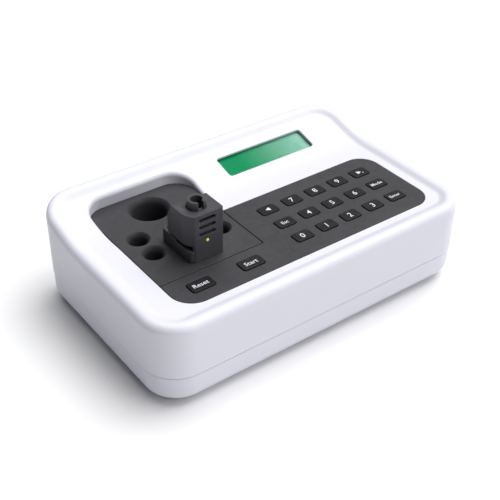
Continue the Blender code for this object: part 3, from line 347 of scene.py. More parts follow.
def deck_height(y):
    """Height of the top surface: flat at the keypad, then a curve up into the sloping deck."""
    run = DECK_END - DECK_START
    if y <= DECK_START:
        return TOP_Z
    if y <= DECK_END:
        return TOP_Z + DECK_SLOPE * (y - DECK_START) ** 2 / (2 * run)
    return TOP_Z + DECK_SLOPE * run / 2 + DECK_SLOPE * (y - DECK_END)


def case_ring(inset, height):
    """A ring of 3-D points, inset from the casing's outline; height is a function of y."""
    bends = rounded_box(2 * (HALF_X - inset), 2 * (HALF_Y - inset), CASE_RADIUS - inset,
                        segments=CORNER_STEPS)
    shares = [i / SIDE_STEPS for i in range(1, SIDE_STEPS)]
    points = []
    for start in range(0, len(bends), CORNER_STEPS + 1):
        bend = bends[start:start + CORNER_STEPS + 1]
        after = bends[(start + CORNER_STEPS + 1) % len(bends)]
        points += bend + [bend[-1].lerp(after, share) for share in shares]
    return [(p.x, p.y, height(p.y)) for p in points]


def flat(z):
    return lambda y: z


def above_deck(rise):
    return lambda y: deck_height(y) + rise


# ---- meshes

def ring(bm, points):
    return [bm.verts.new(p) for p in points]


def strip(bm, low, high):
    for i in range(len(low)):
        j = (i + 1) % len(low)
        bm.faces.new((low[i], low[j], high[j], high[i]))


def stack(bm, rings):
    """Skin a list of equal rings of 3-D points and return their vertices."""
    rows = [ring(bm, points) for points in rings]
    for low, high in zip(rows, rows[1:]):
        strip(bm, low, high)
    return rows


def capped(bm, rings):
    """Skin a list of rings, as stack does, and close both ends."""
    rows = stack(bm, rings)
    bm.faces.new(list(reversed(rows[0])))
    bm.faces.new(rows[-1])
    return bm


def inside(points, polygon):
    """Which of the points lie inside a polygon."""
    x, y = points[:, 0:1], points[:, 1:2]
    a, b = polygon, np.roll(polygon, -1, axis=0)
    crosses = (a[:, 1] > y) != (b[:, 1] > y)
    with np.errstate(divide="ignore", invalid="ignore"):
        at = (b[:, 0] - a[:, 0]) * (y - a[:, 1]) / (b[:, 1] - a[:, 1]) + a[:, 0]
    return (crosses & (x < at)).sum(axis=1) % 2 == 1


def clear_of(points, polygon, distance):
    """Which of the points are further than a distance from a polygon's edges."""
    a, b = polygon, np.roll(polygon, -1, axis=0)
    run = b - a
    t = ((points[:, None, :] - a) * run).sum(-1) / np.maximum((run ** 2).sum(-1), 1e-12)
    nearest = a + np.clip(t, 0, 1)[..., None] * run
    return (np.linalg.norm(points[:, None, :] - nearest, axis=-1) > distance).all(axis=1)


def fill(bm, outer, holes, height, spacing):
    """Triangulate between vertex loops, with grid points inside whose height follows (x, y)."""
    loops = [outer] + holes
    polygons = [np.array([v.co.xy for v in loop]) for loop in loops]
    low, high = polygons[0].min(0), polygons[0].max(0)
    xs = np.arange(low[0] + spacing / 2, high[0], spacing)
    ys = np.arange(low[1] + spacing / 2, high[1], spacing)
    grid = np.array([(x, y) for x in xs for y in ys]).reshape(-1, 2)
    keep = inside(grid, polygons[0])
    for polygon in polygons[1:]:
        keep &= ~inside(grid, polygon)
    for polygon in polygons:
        keep &= clear_of(grid, polygon, 0.5 * spacing)
    grid = grid[keep]
    verts = [v for loop in loops for v in loop]
    verts += [bm.verts.new((x, y, height(x, y))) for x, y in grid]
    edges, start = [], 0
    for loop in loops:
        edges += [(start + i, start + (i + 1) % len(loop)) for i in range(len(loop))]
        start += len(loop)
    flat_points = [Vector(v.co.xy) for v in verts]
    points, _, faces, origins, _, _ = delaunay_2d_cdt(flat_points, edges, [], 0, 1e-5)
    middles = np.array([[sum(points[i][axis] for i in face) / len(face) for axis in (0, 1)]
                        for face in faces])
    good = inside(middles, polygons[0])
    for polygon in polygons[1:]:
        good &= ~inside(middles, polygon)
    for face, ok in zip(faces, good):
        corners = [verts[origins[i][0]] for i in face if origins[i]]
        if ok and len(set(corners)) == 3:
            bm.faces.new(corners)


def bevelled(bm, width, segments, angle, only=None):
    """Round the edges that turn by more than an angle, or those that only() picks of them."""
    bm.normal_update()
    edges = [e for e in bm.edges if len(e.link_faces) == 2
             and e.calc_face_angle(0.0) > radians(angle) and (only is None or only(e))]
    bmesh.ops.bevel(bm, geom=edges, offset=width, segments=segments, profile=0.5,
                    affect="EDGES", clamp_overlap=True)


def prism(outline, low, high, bm=None):
    rings = [[(p[0], p[1], z) for p in outline] for z in (low, high)]
    return capped(bm or bmesh.new(), rings)


def box_mesh(x0, x1, y0, y1, z0, z1):
    return prism([(x0, y0), (x1, y0), (x1, y1), (x0, y1)], z0, z1)


def turned_mesh(profile, segments, centre=(0.0, 0.0), bm=None):
    """Turn a profile of (radius, height) about a vertical axis; radius 0 closes an end."""
    bm = bm or bmesh.new()
    rows = []
    for radius, height in profile:
        points = circle(radius, segments, centre) if radius else [Vector(centre)]
        rows.append(ring(bm, [(p.x, p.y, height) for p in points]))
    for low, high in zip(rows, rows[1:]):
        if len(low) == len(high):
            strip(bm, low, high)
            continue
        for i in range(segments):
            j = (i + 1) % segments
            if len(low) == 1:
                bm.faces.new((low[0], high[i], high[j]))
            else:
                bm.faces.new((low[i], low[j], high[0]))
    return bm


def arc(centre, radius, start, end, steps):
    """Points of an arc in a profile, angles in degrees from the profile's first axis."""
    points = []
    for step in range(steps + 1):
        angle = radians(start + (end - start) * step / steps)
        points.append((centre[0] + radius * cos(angle), centre[1] + radius * sin(angle)))
    return points


def along_y(bm, x=0.0, y=0.0, z=0.0):
    """Turn a mesh built along +Z so that it points to the back, and move it."""
    turn = Matrix.Rotation(-pi / 2, 4, "X")
    bmesh.ops.transform(bm, matrix=Matrix.Translation((x, y, z)) @ turn, verts=bm.verts)
    return bm


def linked(name, data):
    """A new object in the scene."""
    obj = bpy.data.objects.new(name, data)
    bpy.context.scene.collection.objects.link(obj)
    return obj


def evaluated_mesh(obj):
    """A mesh of what an object looks like with its modifiers."""
    bpy.context.view_layer.update()
    evaluated = obj.evaluated_get(bpy.context.evaluated_depsgraph_get())
    return bpy.data.meshes.new_from_object(evaluated)


def solid(name, bm):
    """An object in metres from a closed mesh in millimetres."""
    bmesh.ops.recalc_face_normals(bm, faces=bm.faces)
    bmesh.ops.translate(bm, vec=(0.0, 0.0, FEET), verts=bm.verts)
    bmesh.ops.scale(bm, vec=(MM, MM, MM), verts=bm.verts)
    mesh = bpy.data.meshes.new(name)
    bm.to_mesh(mesh)
    bm.free()
    return linked(name, mesh)


def combined(obj, bm, operation="DIFFERENCE"):
    """Cut or join another closed mesh into an object, and keep the result as its mesh."""
    other = solid("tool", bm)
    modifier = obj.modifiers.new("tool", "BOOLEAN")
    modifier.operation = operation
    modifier.object = other
    modifier.solver = "EXACT"
    mesh = evaluated_mesh(obj)
    obj.modifiers.clear()
    obj.data = mesh
    bpy.data.objects.remove(other)
    return obj


def dressed(obj, look, *replaces, body=CASE, angle=32.0, weighted=False):
    """Smooth a piece, give it its material and tie it to the frame, where it takes the place of
    the CAD nodes it replaces."""
    mesh = obj.data
    mesh.materials.clear()
    mesh.materials.append(LOOKS[look])
    mesh.shade_smooth()
    mesh.set_sharp_from_angle(angle=radians(angle))
    if weighted:
        modifier = obj.modifiers.new("even_faces", "WEIGHTED_NORMAL")
        modifier.keep_sharp = True
        modifier.weight = 80
    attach(obj, body)
    if replaces:
        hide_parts(*replaces)
    return obj


# ---- materials


class Look:
    """A node material: a Principled shader whose colour, roughness and surface come from noise."""

    def __init__(self, name, colour, roughness, metallic=0.0, **sockets):
        self.name = name
        self.material = bpy.data.materials.new("look_" + name)
        self.material.use_nodes = True
        self.tree = self.material.node_tree
        self.shader = self.tree.nodes["Principled BSDF"]
        self.colour = (*colour, 1.0)
        self.shader.inputs["Base Color"].default_value = self.colour
        self.shader.inputs["Roughness"].default_value = roughness
        self.shader.inputs["Metallic"].default_value = metallic
        for socket, value in sockets.items():
            self.shader.inputs[socket.replace("_", " ")].default_value = value
        self.place = self.tree.nodes.new("ShaderNodeTexCoord").outputs["Object"]
        self.bump = None

    def node(self, kind, **inputs):
        node = self.tree.nodes.new(kind)
        for name, value in inputs.items():
            socket = node.inputs[name.replace("_", " ")]
            if isinstance(value, bpy.types.NodeSocket):
                self.tree.links.new(value, socket)
            else:
                socket.default_value = value
        return node

    def noise(self, size, detail=2.0, stretch=None):
        """Noise whose features are about size millimetres across."""
        place = self.place
        if stretch:
            place = self.node("ShaderNodeMapping", Vector=place, Scale=stretch).outputs["Vector"]
        return self.node("ShaderNodeTexNoise", Vector=place, Scale=1.0 / (size * MM),
                         Detail=detail).outputs["Fac"]

    def ranged(self, value, low, high, start=0.3, end=0.7):
        """Map start..end, by default the middle of the noise, to low..high."""
        return self.node("ShaderNodeMapRange", Value=value, From_Min=start, From_Max=end,
                         To_Min=low, To_Max=high).outputs["Result"]

    def mixed(self, factor, first, second):
        """Mix two colours, each a colour or a socket."""
        node = self.tree.nodes.new("ShaderNodeMix")
        node.data_type = "RGBA"
        self.tree.links.new(factor, node.inputs[0])
        for socket, value in ((node.inputs[6], first), (node.inputs[7], second)):
            if isinstance(value, bpy.types.NodeSocket):
                self.tree.links.new(value, socket)
            else:
                socket.default_value = value
        return node.outputs[2]

    def coloured(self, socket):
        self.tree.links.new(socket, self.shader.inputs["Base Color"])
        self.colour = socket
        return self

    def tinted(self, other, factor):
        """Mix another colour into the present one."""
        return self.coloured(self.mixed(factor, self.colour, (*other, 1.0)))

    def mottled(self, other, size, amount):
        """Drift towards another colour over patches of size millimetres."""
        return self.tinted(other, self.ranged(self.noise(size, 3.0), 0.0, amount))

    def specked(self, other, size, share, amount):
        """Small specks of another colour."""
        factor = self.ranged(self.noise(size, 0.0), 0.0, amount, 1.0 - share, 1.02 - share)
        return self.tinted(other, factor)

    def worn(self, other, amount):
        """Rub exposed edges towards another colour, where the mesh is pointed."""
        edge = self.node("ShaderNodeNewGeometry").outputs["Pointiness"]
        return self.tinted(other, self.ranged(edge, 0.0, amount, 0.53, 0.62))

    def rough(self, low, high, size, detail=3.0, stretch=None):
        self.tree.links.new(self.ranged(self.noise(size, detail, stretch), low, high),
                            self.shader.inputs["Roughness"])
        return self

    def grained(self, size, depth, strength, detail=1.0, stretch=None):
        """Relief of size millimetres across and depth millimetres deep."""
        node = self.node("ShaderNodeBump", Height=self.noise(size, detail, stretch),
                         Strength=strength, Distance=depth * MM)
        if self.bump:
            self.tree.links.new(self.bump, node.inputs["Normal"])
        self.bump = node.outputs["Normal"]
        self.tree.links.new(self.bump, self.shader.inputs["Normal"])
        return self


def make_looks():
    return [
        Look("white_plastic", (0.675, 0.675, 0.755), 0.38, Specular_IOR_Level=0.4)
        .mottled((0.655, 0.655, 0.71), 34.0, 0.5).specked((0.6, 0.59, 0.6), 1.6, 0.235, 0.15)
        .rough(0.33, 0.47, 9.0).grained(14.0, 0.05, 0.25).grained(0.35, 0.006, 0.5),
        Look("dark_plastic", (0.035, 0.033, 0.038), 0.5, Specular_IOR_Level=0.22)
        .mottled((0.047, 0.045, 0.05), 22.0, 0.7).specked((0.09, 0.09, 0.09), 1.3, 0.24, 0.3)
        .rough(0.42, 0.6, 6.0).grained(0.45, 0.02, 0.6, 2.0),
        Look("key_rubber", (0.006, 0.006, 0.008), 0.55, Specular_IOR_Level=0.16)
        .mottled((0.013, 0.013, 0.015), 5.0, 0.8).worn((0.045, 0.045, 0.05), 0.5)
        .rough(0.4, 0.62, 2.4).grained(0.3, 0.012, 0.5, 2.0),
        Look("legend", (0.74, 0.75, 0.78), 0.5)
        .mottled((0.55, 0.56, 0.6), 1.6, 0.7).rough(0.45, 0.65, 1.0).grained(0.2, 0.01, 0.4),
        Look("head_plastic", (0.05, 0.048, 0.054), 0.5, Specular_IOR_Level=0.25)
        .mottled((0.058, 0.056, 0.062), 12.0, 0.7).worn((0.1, 0.1, 0.106), 0.5)
        .specked((0.1, 0.1, 0.1), 1.1, 0.24, 0.3)
        .rough(0.38, 0.55, 4.0).grained(0.4, 0.02, 0.6, 2.0),
        Look("black_plastic", (0.02, 0.02, 0.021), 0.42, Specular_IOR_Level=0.4)
        .mottled((0.034, 0.034, 0.035), 7.0, 0.8)
        .rough(0.34, 0.56, 3.0).grained(0.3, 0.015, 0.5, 2.0),
        Look("rubber", (0.028, 0.028, 0.029), 0.85, Specular_IOR_Level=0.25)
        .mottled((0.06, 0.058, 0.055), 3.0, 0.8).worn((0.12, 0.12, 0.115), 0.7)
        .rough(0.75, 0.95, 1.6).grained(0.7, 0.05, 0.6, 3.0),
        Look("aluminium", (0.72, 0.73, 0.75), 0.32, 1.0)
        .mottled((0.6, 0.61, 0.63), 6.0, 0.7).rough(0.24, 0.44, 0.8, 2.0, (1.0, 14.0, 1.0))
        .grained(0.5, 0.01, 0.6, 2.0, (1.0, 14.0, 1.0)),
        Look("steel", (0.6, 0.6, 0.62), 0.28, 1.0)
        .mottled((0.45, 0.45, 0.46), 1.8, 0.7).worn((0.75, 0.75, 0.76), 0.5)
        .rough(0.2, 0.42, 0.7).grained(0.25, 0.01, 0.6, 2.0, (1.0, 1.0, 8.0)),
        Look("board_green", (0.02, 0.15, 0.065), 0.38)
        .mottled((0.03, 0.21, 0.09), 2.2, 0.8).specked((0.62, 0.6, 0.5), 1.5, 0.27, 0.9)
        .rough(0.3, 0.5, 1.5).grained(1.4, 0.05, 0.6, 2.0),
        Look("clear_window", (0.02, 0.2, 0.12), 0.06, Alpha=0.03, Specular_IOR_Level=0.3)
        .rough(0.04, 0.1, 12.0).grained(20.0, 0.02, 0.3),
        Look("glass", (0.7, 0.8, 0.92), 0.05, Alpha=0.35)
        .rough(0.03, 0.08, 1.0).mottled((0.6, 0.75, 0.9), 2.0, 0.6),
        Look("lamp_lens", (0.62, 0.68, 0.05), 0.2,
             Emission_Color=(0.75, 0.85, 0.05, 1.0), Emission_Strength=0.12)
        .mottled((0.85, 0.85, 0.3), 0.8, 0.8).rough(0.15, 0.3, 0.6),
        Look("heater_orange", (0.6, 0.25, 0.03), 0.45)
        .mottled((0.45, 0.16, 0.02), 2.5, 0.8).rough(0.35, 0.55, 2.0).grained(2.4, 0.06, 0.6),
        Look("cable_grey", (0.33, 0.33, 0.35), 0.6)
        .mottled((0.26, 0.26, 0.28), 3.0, 0.8).rough(0.5, 0.7, 1.5).grained(0.5, 0.03, 0.5, 2.0),
        Look("label_silver", (0.6, 0.6, 0.6), 0.38, 0.3)
        .mottled((0.52, 0.52, 0.53), 5.0, 0.7).rough(0.3, 0.48, 1.0, 2.0, (1.0, 12.0, 1.0))
        .grained(0.3, 0.006, 0.5, 1.0, (1.0, 12.0, 1.0)),
        Look("backlight_white", (0.8, 0.86, 0.76), 0.5)
        .mottled((0.7, 0.8, 0.68), 6.0, 0.7).rough(0.42, 0.6, 2.0).grained(1.0, 0.02, 0.4),
        lcd_look(),
    ]


def lcd_look():
    """Green display with a painted reflection: deeper at its left, lighter towards its right, where
    a soft light's reflection is painted into the colour.
    """
    look = Look("lcd_green", (0.0, 0.3, 0.12), 0.5, Specular_IOR_Level=0.02)
    parts = look.node("ShaderNodeSeparateXYZ", Vector=look.place)
    left = (LCD_CENTRE[0] - LCD_OPENING[0] / 2) * MM
    right = (LCD_CENTRE[0] + LCD_OPENING[0] / 2) * MM
    # painted reflection: the green lightens along x from the left to the right end, standing in for
    # a soft light reflected in the display's glass
    share = look.ranged(parts.outputs["X"], 0.0, 1.0, left + (right - left) / 5, right)
    painted_reflection_share = look.tree.nodes.new("ShaderNodeMath")
    painted_reflection_share.operation = "POWER"
    painted_reflection_share.inputs[1].default_value = 1.5
    look.tree.links.new(share, painted_reflection_share.inputs[0])
    look.coloured(look.mixed(painted_reflection_share.outputs[0], (0.0, 0.235, 0.08, 1.0), (0.31, 0.56, 0.47, 1.0)))
    return look.mottled((0.0, 0.25, 0.12), 7.0, 0.2).rough(0.24, 0.38, 3.0).grained(0.55, 0.01, 0.4)


def floor_look():
    return (Look("floor", (0.86, 0.86, 0.865), 0.6, Specular_IOR_Level=0.2)
            .mottled((0.83, 0.83, 0.84), 180.0, 0.5)
            .rough(0.55, 0.7, 60.0)
            .grained(3.0, 0.02, 0.2))


LOOKS = {look.name: look.material for look in make_looks()}


# ---- casing

def edge_radius(y):
    """Rounding of the opening's upper edge: crisp round the keypad, soft along the bay's walls."""
    share = min(max((y - OPEN_BACK) / SOFT_EDGE_RUN, 0.0), 1.0)
    share = share * share * (3 - 2 * share)
    return SHARP_EDGE_RADIUS + (SOFT_EDGE_RADIUS - SHARP_EDGE_RADIUS) * share


def opening_rings():
    """Rings of the opening: rounded edge, wall, ledge under the panels and skirt."""
    outline = opening_outline()
    normals = outward(outline)
    radii = [edge_radius(p.y) for p in outline]

    def at(offsets, height):
        moved = [p + n * o for p, n, o in zip(outline, normals, offsets)]
        return [(m.x, m.y, height(m.y, r)) for m, r in zip(moved, radii)]

    rings = [at([r + GUARD for r in radii], lambda y, r: deck_height(y))]
    for s, c in quarter(7):
        rings.append(at([r * (1 - s) for r in radii],
                        lambda y, r: deck_height(y) - r * (1 - c)))
    wall, ledge, skirt = ([offset] * len(outline) for offset in (0.0, -LEDGE_WIDTH, SKIRT_WALL))
    rings.append(at(wall, lambda y, r: deck_height(y) - r - GUARD))
    for offsets, z in ((wall, LEDGE_Z), (ledge, LEDGE_Z), (ledge, SKIRT_Z), (skirt, SKIRT_Z)):
        rings.append(at(offsets, lambda y, r: z))
    rings.append(at(skirt, lambda y, r: deck_height(y) - WALL))
    return rings


def deck_matrix():
    """From a plate's own plane to the sloping deck at the display's centre."""
    x, y = LCD_CENTRE
    turn = Matrix.Rotation(atan(DECK_SLOPE), 4, "X")
    return Matrix.Translation((x, y, deck_height(y))) @ turn


def display_rings():
    """Rings of the display's opening: rounded edge, lip and the seat of the window under it."""
    outline = divided(rounded_box(*LCD_OPENING, LCD_RADIUS), 3.0)
    levels = [(LCD_EDGE + GUARD, 0.0)]
    levels += [(LCD_EDGE * (1 - s), -LCD_EDGE * (1 - c)) for s, c in quarter(5)]
    under = -WALL * cos(atan(DECK_SLOPE))
    levels += [(0.0, -LCD_EDGE - GUARD), (0.0, -LCD_LIP), (LCD_SEAT, -LCD_LIP), (LCD_SEAT, under)]
    matrix = deck_matrix()
    return [[matrix @ Vector(p) for p in points] for points in levelled(outline, levels)]


def make_upper_case():
    profile = [(EDGE * (1 - s), flat(UPPER_EDGE_Z + EDGE * (1 - c))) for s, c in quarter(3)]
    wall_top = RIM_HEIGHT - RIM_RADIUS
    profile += [(0.0, flat(UPPER_EDGE_Z + EDGE + GUARD)), (0.0, above_deck(wall_top - GUARD))]
    profile += [(RIM_RADIUS * (1 - c), above_deck(wall_top + RIM_RADIUS * s))
                for s, c in quarter(10)]
    cove = RIM_RADIUS + RIM_CREST
    for step in range(COVE_STEPS + 1):
        share = step / COVE_STEPS
        rise = RIM_HEIGHT * (1 + cos(pi * share)) / 2
        profile.append((cove + COVE_WIDTH * share, above_deck(rise)))
    profile.append((cove + COVE_WIDTH + GUARD, above_deck(0.0)))
    bm = bmesh.new()
    outer = stack(bm, [case_ring(inset, height) for inset, height in profile])
    inner = stack(bm, [case_ring(WALL, flat(UPPER_EDGE_Z)), case_ring(WALL, above_deck(-WALL))])
    strip(bm, inner[0], outer[0])
    opening = stack(bm, opening_rings())
    display = stack(bm, display_rings())
    fill(bm, outer[-1], [opening[0], display[0]], lambda x, y: deck_height(y), DECK_GRID)
    fill(bm, inner[-1], [opening[-1], display[-1]], lambda x, y: deck_height(y) - WALL, UNDER_GRID)
    shell = solid("upper_case_shell", bm)
    x0, x1, z0, z1 = REAR_OPENING
    plan = rounded_box(x1 - x0, z1 - z0, REAR_CORNER, ((x0 + x1) / 2, -(z0 + z1) / 2))
    combined(shell, along_y(prism(plan, -REAR_DEPTH, REAR_DEPTH), y=HALF_Y))
    dressed(shell, "white_plastic", "upper_case")


def corner_places(at):
    return [(x, y) for x in (-at[0], at[0]) for y in (-at[1], at[1])]


def make_lower_case():
    profile = [(LOWER_INSET + BOTTOM_FILLET + FLOOR_MARGIN, 0.0)]
    profile += [(LOWER_INSET + BOTTOM_FILLET * (1 - s), BOTTOM_FILLET * (1 - c))
                for s, c in quarter(12)]
    profile += [(LOWER_INSET, BOTTOM_FILLET + GUARD), (LOWER_INSET, LOWER_EDGE_Z - EDGE - GUARD)]
    profile += [(LOWER_INSET + EDGE * (1 - c), LOWER_EDGE_Z - EDGE * (1 - s))
                for s, c in quarter(3)]
    inner, lip_top = LIP_INSET + LIP_WALL, LOWER_EDGE_Z + LIP_HEIGHT
    profile += [(LIP_INSET, LOWER_EDGE_Z), (LIP_INSET, lip_top), (inner, lip_top),
                (inner, WALL + 5.0), (inner + 4.0, WALL)]
    rings = [case_ring(inset, flat(z)) for inset, z in profile]
    shell = solid("lower_case_shell", capped(bmesh.new(), rings))
    cuts = bmesh.new()
    hole = [(0.0, -PAST), (SCREW_MOUTH, -PAST), (SCREW_BORE, 0.6), (SCREW_BORE, WALL + PAST),
            (0.0, WALL + PAST)]
    for place in corner_places(SCREW_AT):
        turned_mesh(hole, 32, place, cuts)
    seat = FOOT_RADIUS + FOOT_PLAY
    for place in corner_places(FOOT_AT):
        turned_mesh([(0.0, -PAST), (seat, -PAST), (seat, FOOT_RECESS), (0.0, FOOT_RECESS)],
                    48, place, cuts)
    for i in range(VENT_COUNT):
        centre = (VENT_START[0] + VENT_PITCH * i, VENT_START[1])
        prism(rounded_box(*VENT_SIZE, VENT_RADIUS, centre), -PAST, WALL + PAST, cuts)
    prism(rounded_box(*LABEL_SIZE, 2.0, LABEL_AT), -PAST, LABEL_RECESS, cuts)
    combined(shell, cuts)
    dressed(shell, "white_plastic", "lower_case")


def make_feet():
    groove = FOOT_GROOVE - FEET
    side = FOOT_RADIUS - 0.1
    top = FOOT_RECESS - FOOT_PLAY
    for corner, place in zip(CORNERS, corner_places(FOOT_AT)):
        profile = [(0.0, -FEET), (2.0, -FEET), (2.4, groove), (4.8, groove), (5.2, -FEET)]
        profile += arc((FOOT_RADIUS - 0.9, -FEET + FOOT_EDGE), FOOT_EDGE, -90, 0, 5)
        profile += [(side, top), (0.0, top)]
        foot = solid(f"foot_{corner}_pad", turned_mesh(profile, 48, place))
        dressed(foot, "rubber", f"foot_{corner}")


# ---- panels and keys

def plate(outline, holes, top, low, fillet, ready=(), bm=None):
    """A flat plate with rounded upper edges; holes are outlines, and ready holds the vertex rings
    of holes that are already made in bm, at the plate's top and underside."""
    bm = bm or bmesh.new()

    def edge_rows(points, sign, radius):
        levels = [(-sign * (radius + GUARD), top)]
        levels += [(-sign * radius * (1 - s), top - radius * (1 - c))
                   for s, c in quarter(4)]
        return stack(bm, levelled(points, levels + [(0.0, low)]))

    outer = edge_rows(outline, 1.0, fillet)
    upper, lower = [], []
    for hole in holes:
        rows = edge_rows(hole, -1.0, fillet)
        upper.append(rows[0])
        lower.append(rows[-1])
    for first, last in ready:
        upper.append(first)
        lower.append(last)
    fill(bm, outer[0], upper, lambda x, y: top, PLATE_GRID)
    fill(bm, outer[-1], lower, lambda x, y: low, 2 * PLATE_GRID)
    return bm


KEY_LEGENDS = {
    "key_left": "<", "key_7": "7", "key_8": "8", "key_9": "9", "key_right": ">",
    "key_esc": "Esc", "key_4": "4", "key_5": "5", "key_6": "6", "key_mode": "Mode",
    "key_0": "0", "key_1": "1", "key_2": "2", "key_3": "3", "key_enter": "Enter",
    "reset_key": "Reset", "start_key": "Start",
}
DIGIT_SIZE = 6.0
LEGEND_SIZES = {"Esc": 4.0, "Mode": 3.9, "Enter": 3.8, "Reset": 4.6, "Start": 4.6}


def key_place(name):
    """Centre and size of a key's cap without its flange, and its lowest and highest level."""
    low, high = node_box(name)
    centre = ((low.x + high.x) / 2, (low.y + high.y) / 2)
    size = (high.x - low.x - 2 * KEY_FLANGE, high.y - low.y - 2 * KEY_FLANGE)
    return centre, size, low.z, high.z


def make_keypad_panel():
    seam_x = BAY_RIGHT - PANEL_GAP + SEAM
    front, back = OPEN_FRONT + PANEL_GAP, OPEN_BACK - PANEL_GAP
    left, right = OPEN_LEFT + PANEL_GAP, OPEN_RIGHT - PANEL_GAP
    seam_y = SEAM_FRONT - SEAM / 2
    outline = rounded([
        (left, front, FRONT_LEFT_RADIUS - PANEL_GAP), (right, front, RIGHT_RADIUS - PANEL_GAP),
        (right, back, RIGHT_RADIUS - PANEL_GAP), (seam_x, back, INNER_RADIUS),
        (seam_x, seam_y, SEAM_RADIUS), (left, seam_y, SEAM_RADIUS)], 12)
    holes = []
    for name in KEY_LEGENDS:
        centre, size, _, _ = key_place(name)
        holes.append(rounded_box(size[0] + 2 * PANEL_GAP, size[1] + 2 * PANEL_GAP,
                                 KEY_RADIUS + PANEL_GAP, centre))
    bm = plate(divided(outline, PLATE_GRID), holes, TOP_Z, TOP_Z - PANEL_THICKNESS, EDGE)
    dressed(solid("keypad_plate", bm), "dark_plastic", "keypad_panel")


def make_sample_panel():
    left, right = OPEN_LEFT + PANEL_GAP, BAY_RIGHT - PANEL_GAP
    front, back = SEAM_FRONT + SEAM / 2, BAY_BACK - PANEL_GAP
    outline = rounded([(left, front, SEAM_RADIUS), (right, front, SEAM_RADIUS),
                       (right, back, BAY_RIGHT_RADIUS - PANEL_GAP),
                       (left, back, BAY_LEFT_RADIUS - PANEL_GAP)], 12)
    bm = bmesh.new()
    cups = []
    low = TOP_Z - PANEL_THICKNESS
    floor = TOP_Z - WELL_DEPTH
    for centre, mouth, lip in WELLS:
        bore = mouth - lip
        segments = 72 if mouth > 10.0 else 48
        flare = lip / (1 - cos(LIP_ANGLE))
        root = TOP_Z - flare * sin(LIP_ANGLE)
        profile = [(mouth + GUARD, TOP_Z)]
        for step in range(9):
            angle = LIP_ANGLE * (8 - step) / 8
            profile.append((bore + flare * (1 - cos(angle)), root + flare * sin(angle)))
        foot = bore - WELL_DRAFT
        profile.append((foot, floor + WELL_FILLET + 0.2))
        profile += arc((foot - WELL_FILLET, floor + WELL_FILLET), WELL_FILLET, 0, -90, 5)
        inner = stack(bm, round_rings(profile, segments, centre))
        bm.faces.new(inner[-1])
        wall = bore + CUP_WALL
        outside = [(wall, low), (wall, floor), (bore, floor - CUP_WALL)]
        outer = stack(bm, round_rings(outside, segments, centre))
        bm.faces.new(outer[-1])
        cups.append((inner[0], outer[0]))
    plate(divided(outline, PLATE_GRID), [], TOP_Z, low, EDGE, cups, bm)
    dressed(solid("sample_plate", bm), "dark_plastic", "sample_panel")


def dish_height(name):
    """Height of a key's dished top, as a function of x and y."""
    centre, size, _, top = key_place(name)

    def height(x, y):
        u = min(abs(x - centre[0]) / (size[0] / 2), 1.0)
        v = min(abs(y - centre[1]) / (size[1] / 2), 1.0)
        return top - KEY_DISH * (1 - u * u) * (1 - v * v)
    return height


def make_keys():
    for name, legend in KEY_LEGENDS.items():
        centre, size, low, top = key_place(name)
        outline = divided(rounded_box(*size, KEY_RADIUS, centre), KEY_STEP)
        shoulder = low + KEY_FLANGE_THICKNESS
        levels = [(KEY_FLANGE, low), (KEY_FLANGE, shoulder), (0.0, shoulder),
                  (0.0, top - KEY_FILLET - GUARD)]
        levels += [(-KEY_FILLET * (1 - c), top - KEY_FILLET * (1 - s))
                   for s, c in quarter(6)]
        bm = bmesh.new()
        rows = stack(bm, levelled(outline, levels))
        bm.faces.new(list(reversed(rows[0])))
        fill(bm, rows[-1], [], dish_height(name), KEY_GRID)
        dressed(solid(f"{name}_cap", bm), "key_rubber", name, body=name)
        make_legend(name, legend, centre)


def flat_text(text, size):
    """Letters as a flat mesh in millimetres about the origin."""
    curve = bpy.data.curves.new("letters", "FONT")
    curve.body = text
    curve.size = size
    curve.align_x = "CENTER"
    curve.offset = 0.005 * size
    curve.resolution_u = 4
    obj = linked("letters", curve)
    mesh = evaluated_mesh(obj)
    bpy.data.objects.remove(obj)
    bm = bmesh.new()
    bm.from_mesh(mesh)
    bmesh.ops.remove_doubles(bm, verts=bm.verts, dist=0.001)
    ys = [v.co.y for v in bm.verts]
    xs = [v.co.x for v in bm.verts]
    middle = (-(min(xs) + max(xs)) / 2, -(min(ys) + max(ys)) / 2, 0.0)
    bmesh.ops.translate(bm, vec=middle, verts=bm.verts)
    return bm


def flat_arrow(direction):
    """An arrow to the left (-1) or to the right (1), which has a decimal point beside it."""
    bm = bmesh.new()
    tip, tail, half = 1.8, -1.6, 1.8
    points = rounded([(tail, -half, 0.25), (tip, 0.0, 0.25), (tail, half, 0.25)], 4)
    bm.faces.new([bm.verts.new((p.x * direction, p.y, 0.0)) for p in points])
    if direction > 0:
        bm.faces.new([bm.verts.new((p.x, p.y, 0.0)) for p in circle(0.45, 16, (2.3, -1.5))])
    return bm


def make_legend(name, text, centre):
    """White legend, a thin print that follows the key's dished top."""
    if text in "<>":
        bm = flat_arrow(-1.0 if text == "<" else 1.0)
    else:
        bm = flat_text(text, LEGEND_SIZES.get(text, DIGIT_SIZE))
    bmesh.ops.triangulate(bm, faces=bm.faces)
    bmesh.ops.translate(bm, vec=(centre[0], centre[1], 0.0), verts=bm.verts)
    height = dish_height(name)
    made = bmesh.ops.extrude_face_region(bm, geom=list(bm.faces))
    upper = {g for g in made["geom"] if isinstance(g, bmesh.types.BMVert)}
    for v in bm.verts:
        v.co.z = height(v.co.x, v.co.y) + (LEGEND_RISE if v in upper else -LEGEND_ROOT)
    dressed(solid(f"{name}_legend", bm), "legend", body=name)


# ---- measuring head

